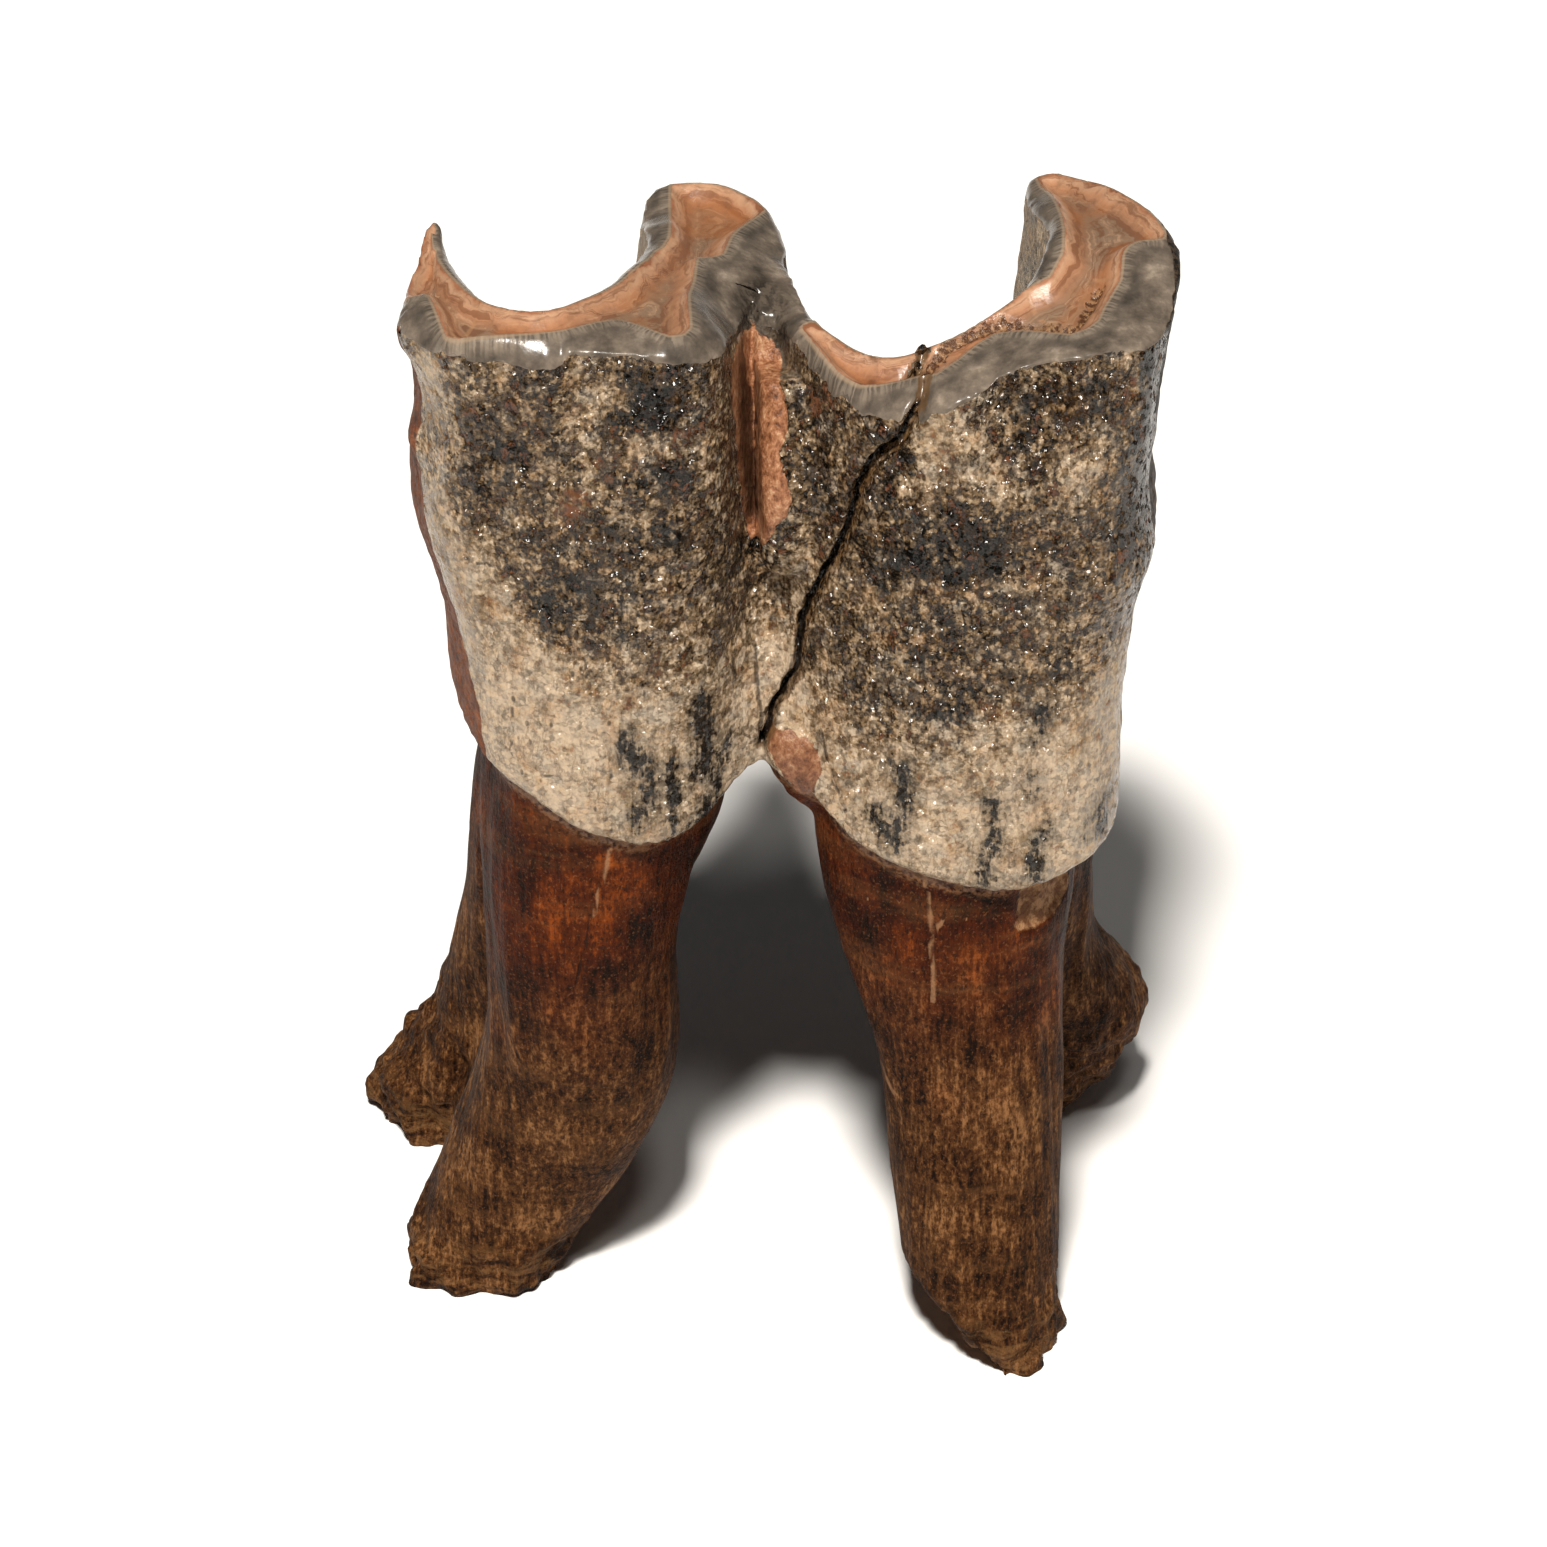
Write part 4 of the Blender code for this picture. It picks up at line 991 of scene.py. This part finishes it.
def facet_look(n, inward, grain):
    """The worn enamel: grey, with fine striations that run out from the dentine. Returns colour and height."""
    along = n.add(n.value("along"), n.swing(n.noise(1.5), 0.3))
    hatch = n.noise(1.0, 1.0, 0.5, n.vector(n.times(along, 4.2), n.times(inward, 0.3), 0.0))
    strength = n.step(n.add(inward, n.swing(grain, 0.9)), -0.95, -0.20)
    colour = n.ramp(n.noise(0.50, 6.0, 0.65), (
        (0.30, tone(80, 72, 64)), (0.44, tone(112, 101, 90)), (0.56, tone(138, 124, 110)),
        (0.70, tone(184, 168, 150)),
    ))
    dark_band = n.times(n.step(inward, -1.7, -1.1), n.step(inward, -0.5, -0.9))
    colour = n.mix(n.times(dark_band, 0.35), colour, tone(66, 62, 58))
    hatched = n.mix(n.step(hatch, 0.38, 0.62), tone(84, 76, 68), tone(166, 151, 134))
    colour = n.mix(n.times(strength, 0.55), colour, hatched)
    rim_line = n.times(n.step(inward, -0.26, -0.12), n.step(inward, 0.05, -0.06))
    colour = n.mix(n.times(rim_line, 0.6), colour, tone(188, 160, 132))
    return colour, n.times(n.times(hatch, strength), 0.012)


def dentine_look(n, inward, grain):
    """Orange-brown in bands along its edge, with grey-brown down the middle. Returns colour and height."""
    depth = n.add(inward, n.swing(n.noise(0.6, 3.0, 0.5), 1.0))
    colour = n.ramp(n.times(depth, 0.28), (
        (0.0, tone(184, 126, 94)), (0.08, tone(216, 170, 136)), (0.20, tone(202, 148, 112)),
        (0.32, tone(172, 126, 96)), (0.46, tone(156, 126, 102)), (0.75, tone(162, 136, 112)),
    ))
    bands = n.noise(1.0, 4.0, 0.65, n.vector(n.times(depth, 1.7), n.times(n.value("along"), 0.10), 0.0))
    colour = n.mix(n.times(n.step(bands, 0.50, 0.40), 0.60), colour, tone(124, 76, 50))
    colour = n.mix(n.times(n.step(bands, 0.54, 0.66), 0.55), colour, tone(220, 176, 140))
    amber = n.times(n.step(n.noise(0.16, 2.0), 0.46, 0.60), n.step(inward, 0.5, 1.2))
    colour = n.mix(n.times(amber, 0.45), colour, tone(186, 112, 58))
    colour = n.mix(n.times(n.step(grain, 0.45, 0.75), 0.35), colour, tone(118, 84, 62))
    brown = n.step(n.add(n.value("brown_line"), n.swing(grain, 0.3)), 0.42, 0.12)
    colour = n.mix(n.times(brown, 0.60), colour, tone(100, 58, 38))
    split = n.step(n.add(n.value("fissure"), n.swing(grain, 1.2)), 0.50, 0.22)
    clods = n.mix(n.step(n.noise(3.0, 3.0, 0.6), 0.45, 0.6), tone(78, 48, 30), tone(168, 128, 90))
    return n.mix(n.times(split, 0.85), colour, clods), n.times(split, n.swing(n.noise(3.0, 2.0), 0.3))


def root_look(n, _, neck, grain):
    """Red-brown near the neck, dull brown below, tan where chipped. Returns colour, fine height and roughness."""
    parts = n.tree.nodes.new("ShaderNodeSeparateXYZ")
    n.tree.links.new(n.place, parts.inputs[0])
    up = parts.outputs["Z"]
    long_grain = n.noise(1.9, 3.0, 0.7, n.stretched(1.0, 1.0, 0.14))
    cloud = n.noise(0.22, 4.0, 0.6)
    grit = n.noise(3.2, 2.0, 0.7, n.stretched(1.0, 1.0, 0.6))
    mixed = n.add(n.times(long_grain, 0.36), n.times(grit, 0.32))
    red = n.ramp(n.add(n.times(cloud, 0.5), n.times(mixed, 0.735), n.times(n.value("glow"), 0.08)), (
        (0.40, tone(24, 9, 2)), (0.47, tone(60, 22, 5)), (0.55, tone(86, 36, 8)), (0.67, tone(156, 74, 20)),
    ))
    dull = n.ramp(n.add(n.times(cloud, 0.32), mixed), (
        (0.41, tone(22, 10, 4)), (0.47, tone(62, 35, 15)), (0.53, tone(92, 58, 30)), (0.61, tone(154, 108, 68)),
    ))
    fall = n.add(up, n.swing(n.noise(0.12, 3.0, 0.6), 16.0))
    colour = n.mix(n.step(fall, 18.0, 33.0), dull, red)
    band = n.noise(1.0, 4.0, 0.6, n.stretched(0.06, 0.06, 0.40))
    colour = n.mix(n.times(n.step(band, 0.50, 0.66), 0.16), colour, tone(150, 104, 64))
    speck = n.step(n.noise(5.0, 2.0, 0.6), 0.56, 0.70)
    colour = n.mix(n.times(speck, 0.26), colour, tone(170, 112, 70))
    pore = n.step(n.noise(3.8, 2.0, 0.5, n.stretched(1.0, 1.0, 0.5)), 0.42, 0.32)
    colour = n.mix(n.times(pore, 0.55), colour, tone(40, 22, 15))
    torn = n.noise(0.9, 4.0, 0.7, n.stretched(0.5, 0.5, 1.4))
    chipped = n.times(n.step(n.add(up, n.swing(grit, 6.0)), 5.5, 1.5), n.step(torn, 0.46, 0.62))
    colour = n.mix(n.times(chipped, 0.45), colour, tone(154, 112, 70))
    colour = n.mix(n.times(n.step(up, 7.0, 1.0), n.step(torn, 0.46, 0.34)), colour, tone(34, 20, 11))
    ledge = n.times(n.step(n.add(neck, n.swing(grain, 1.6)), -1.3, -0.6), n.step(n.noise(2.6, 3.0), 0.38, 0.58))
    colour = n.mix(n.times(ledge, 0.70), colour, tone(152, 108, 74))
    chip = n.step(n.add(n.value("chip"), n.swing(grain, 0.5)), -0.05, 0.1)
    flake = n.mix(n.step(grain, 0.4, 0.65), tone(122, 82, 54), tone(184, 140, 100))
    colour = n.mix(n.times(chip, 0.85), colour, flake)
    height = n.add(n.swing(long_grain, 0.13), n.swing(grit, 0.16), n.times(pore, -0.05), n.swing(torn, 0.06))
    return colour, height, n.step(up, 14.0, 36.0, 0.72, 0.52)


def crown_look(n, worn, neck, grain):
    """All that shows above the neck but the cement. Returns the colour, the fine height and the roughness."""
    inward = n.value("inward")
    colour, bump, darkness = wall_look(n)
    facet, facet_bump = facet_look(n, inward, grain)
    dentine, dentine_bump = dentine_look(n, inward, grain)
    in_dentine = n.step(inward, -0.03, 0.03)
    is_worn = n.step(worn, 0.45, 0.55)
    colour = n.mix(is_worn, colour, n.mix(in_dentine, facet, dentine))
    bump = n.blend(is_worn, bump, n.add(facet_bump, dentine_bump, n.swing(grain, 0.02)))
    gloss = n.blend(n.step(darkness, 0.1, 0.7), 0.24, 0.18)
    gloss = n.blend(n.step(n.value("cheek"), 0.3, 0.9), 0.65, gloss)
    gloss = n.blend(is_worn, gloss, n.blend(in_dentine, 0.22, 0.30))

    # the front face, where the enamel is missing, and the facet where the next tooth rubbed
    red_brown = n.ramp(n.noise(0.8, 5.0, 0.65), (
        (0.3, tone(84, 44, 24)), (0.5, tone(132, 76, 46)), (0.7, tone(168, 108, 72)),
    ))
    is_bare = n.times(n.step(n.add(n.value("bare"), n.swing(grain, 0.5)), 0.4, 0.6), n.step(worn, 0.55, 0.45))
    colour = n.mix(is_bare, colour, red_brown)
    gloss = n.blend(is_bare, gloss, 0.7)
    scratches = n.step(n.noise(3.0, 3.0, 0.7, n.stretched(1.0, 1.0, 0.4)), 0.40, 0.62)
    is_rubbed = n.step(n.add(n.value("contact"), n.swing(grain, 0.4)), 0.35, 0.55)
    colour = n.mix(is_rubbed, colour, n.mix(scratches, tone(22, 18, 15), tone(84, 68, 54)))
    gloss = n.blend(is_rubbed, gloss, 0.6)

    # painted shade at the deep end of the groove, above the cement, where the middle cusp's wall lies in shadow
    shade = n.noise(1.0, 4.0, 0.6, n.stretched(1.6, 1.6, 0.25))
    painted_groove_shade = n.step(n.add(n.value("groove"), n.swing(shade, 1.0)), 0.15, 0.85)
    painted_groove_shade_colour = n.mix(n.step(shade, 0.4, 0.6), tone(26, 22, 19), tone(92, 82, 72))
    colour = n.mix(n.times(painted_groove_shade, 0.80), colour, painted_groove_shade_colour)

    # the strip of root just under the enamel's ragged lower edge
    is_root = n.step(n.add(neck, n.swing(n.noise(1.6, 3.0, 0.6), 0.35)), 0.02, -0.06)
    under_edge = n.times(n.step(n.noise(2.6, 3.0), 0.38, 0.58), 0.70)
    colour = n.mix(is_root, colour, n.mix(under_edge, tone(72, 34, 14), tone(152, 108, 74)))
    gloss = n.blend(is_root, gloss, 0.6)
    return colour, bump, gloss


def build_material(name, shine, look):
    """One of the tooth's two materials: the cement and the cracks, on the look of what is above or below the neck.

    The specular level has to be the same all over a material, so crown and roots each get theirs.
    """
    material = bpy.data.materials.new(name)
    n = Nodes(material)
    worn, neck = n.value("worn"), n.value("neck")
    grain = n.noise(1.5, 3.0, 0.6)
    colour, bump, gloss = look(n, worn, neck, grain)

    # cement
    cement_grain = n.noise(2.6, 3.0, 0.75, n.stretched(1.0, 1.0, 0.7))
    cement = n.ramp(n.add(n.times(cement_grain, 0.7), n.times(n.noise(0.5, 3.0), 0.3)), (
        (0.34, tone(84, 48, 29)), (0.45, tone(146, 93, 61)), (0.55, tone(190, 132, 94)), (0.66, tone(228, 184, 144)),
    ))
    cement = n.mix(n.step(neck, 7.0, 3.0, 0.0, 0.40), cement, tone(92, 54, 32))
    slot_shade = n.step(n.add(n.value("slot"), n.swing(grain, 0.4)), 0.60, 0.20)
    cement = n.mix(n.times(slot_shade, 0.80), cement, tone(40, 20, 12))
    is_cement = n.step(n.add(n.value("cement"), n.swing(n.noise(1.4, 4.0, 0.6), 0.7)), -0.05, 0.03)
    colour = n.mix(is_cement, colour, cement)
    bump = n.blend(is_cement, bump, n.swing(cement_grain, 0.13))
    gloss = n.blend(is_cement, gloss, 0.42)

    # cracks
    wobble = n.swing(n.noise(1.6, 3.0, 0.6), 0.25)
    pale_line = n.step(n.add(n.value("pale_line"), n.times(wobble, 0.8)), 0.22, 0.06)
    colour = n.mix(n.times(pale_line, 0.50), colour, tone(196, 148, 108))
    dark_line = n.step(n.add(n.value("dark_line"), wobble), 0.18, 0.05)
    colour = n.mix(n.times(dark_line, 0.75), colour, tone(36, 24, 18))
    crack = n.value("crack")
    crack_side = n.step(n.add(crack, n.swing(grain, 0.5)), 0.42, 0.28)
    colour = n.mix(n.times(crack_side, 0.8), colour, n.mix(grain, tone(74, 52, 30), tone(140, 104, 66)))
    # painted shade: the middle of the crack is darkened nearly to black, where it lies in shadow
    painted_crack_shade = n.step(n.add(crack, wobble, n.times(worn, 0.12)), 0.22, 0.12)
    colour = n.mix(n.times(painted_crack_shade, 0.95), colour, tone(18, 12, 8))
    bump = n.add(bump, n.times(dark_line, -0.06))

    n.put(n.shader.inputs["Base Color"], colour)
    n.put(n.shader.inputs["Roughness"], gloss)
    n.shader.inputs["Specular IOR Level"].default_value = shine
    node = n.tree.nodes.new("ShaderNodeBump")
    node.inputs["Strength"].default_value = 1.0
    node.inputs["Distance"].default_value = MM
    n.put(node.inputs["Height"], bump)
    n.put(n.shader.inputs["Normal"], node.outputs["Normal"])
    return material


# ---- the piece, the floor, the lights and the camera


def place_in_frame(mesh):
    """Centres the mesh in X and Y, stands its lowest point on Z = 0, and scales it to metres."""
    points = points_of(mesh)
    low, high = points.min(0), points.max(0)
    mesh.transform(Matrix.Translation((-(low[0] + high[0]) / 2, -(low[1] + high[1]) / 2, -low[2])))
    mesh.transform(Matrix.Scale(MM, 4))


def add_tooth():
    mesh = tooth_mesh()
    place_in_frame(mesh)
    mesh.name = "tooth_skin"
    mesh.materials.clear()
    mesh.materials.append(build_material("crown", CROWN_SHINE, crown_look))
    mesh.materials.append(build_material("roots", ROOT_SHINE, root_look))
    neck = np.empty(len(mesh.vertices), np.float32)
    mesh.attributes["neck"].data.foreach_get("value", neck)
    below = [int(all(neck[corner] < ROOTS_BELOW for corner in face.vertices)) for face in mesh.polygons]
    mesh.polygons.foreach_set("material_index", below)
    mesh.shade_smooth()
    tooth = bpy.data.objects.new("tooth_skin", mesh)
    bpy.context.scene.collection.objects.link(tooth)
    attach(tooth, "root")
    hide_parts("tooth")


def add_light(name, azimuth, elevation, size, power):
    """A square soft light aimed at the middle of the tooth."""
    light = bpy.data.lights.new(name, "AREA")
    light.shape = "SQUARE"
    light.size = size
    light.energy = power
    light.color = LIGHT_COLOUR
    holder = bpy.data.objects.new(name, light)
    bpy.context.scene.collection.objects.link(holder)
    a, e = math.radians(azimuth), math.radians(elevation)
    back = Vector((math.sin(a) * math.cos(e), -math.cos(a) * math.cos(e), math.sin(e)))
    holder.location = Vector((0.0, 0.0, 0.035)) + back * LIGHT_DISTANCE
    holder.rotation_euler = back.to_track_quat("Z", "Y").to_euler()


def add_floor():
    half = 1.5
    below = -0.0001
    mesh = bpy.data.meshes.new("floor")
    corners = [(-half, -half, below), (half, -half, below), (half, half, below), (-half, half, below)]
    mesh.from_pydata(corners, [], [(0, 1, 2, 3)])
    floor = bpy.data.objects.new("floor", mesh)
    bpy.context.scene.collection.objects.link(floor)
    material = bpy.data.materials.new("floor")
    material.use_nodes = True
    shader = material.node_tree.nodes["Principled BSDF"]
    shader.inputs["Base Color"].default_value = (0.92, 0.92, 0.92, 1.0)
    shader.inputs["Roughness"].default_value = 0.9
    mesh.materials.append(material)


def add_camera():
    data = bpy.data.cameras.new("camera")
    data.lens = CAMERA_LENS
    data.sensor_width = 36.0
    data.clip_start = 0.01
    camera = bpy.data.objects.new("camera", data)
    bpy.context.scene.collection.objects.link(camera)
    back = Vector((0.0, -math.cos(CAMERA_ELEVATION), math.sin(CAMERA_ELEVATION)))
    camera.location = Vector(CAMERA_TARGET) + back * CAMERA_DISTANCE
    camera.rotation_euler = back.to_track_quat("Z", "Y").to_euler()
    bpy.context.scene.camera = camera


def light_scene():
    scene = bpy.context.scene
    scene.view_settings.view_transform = "Standard"
    world = bpy.data.worlds.new("studio")
    world.use_nodes = True
    world.node_tree.nodes["Background"].inputs["Color"].default_value = (1.0, 1.0, 1.0, 1.0)
    world.node_tree.nodes["Background"].inputs["Strength"].default_value = WORLD_LIGHT
    scene.world = world
    for light in LIGHTS:
        add_light(*light)


add_tooth()
add_floor()
light_scene()
add_camera()
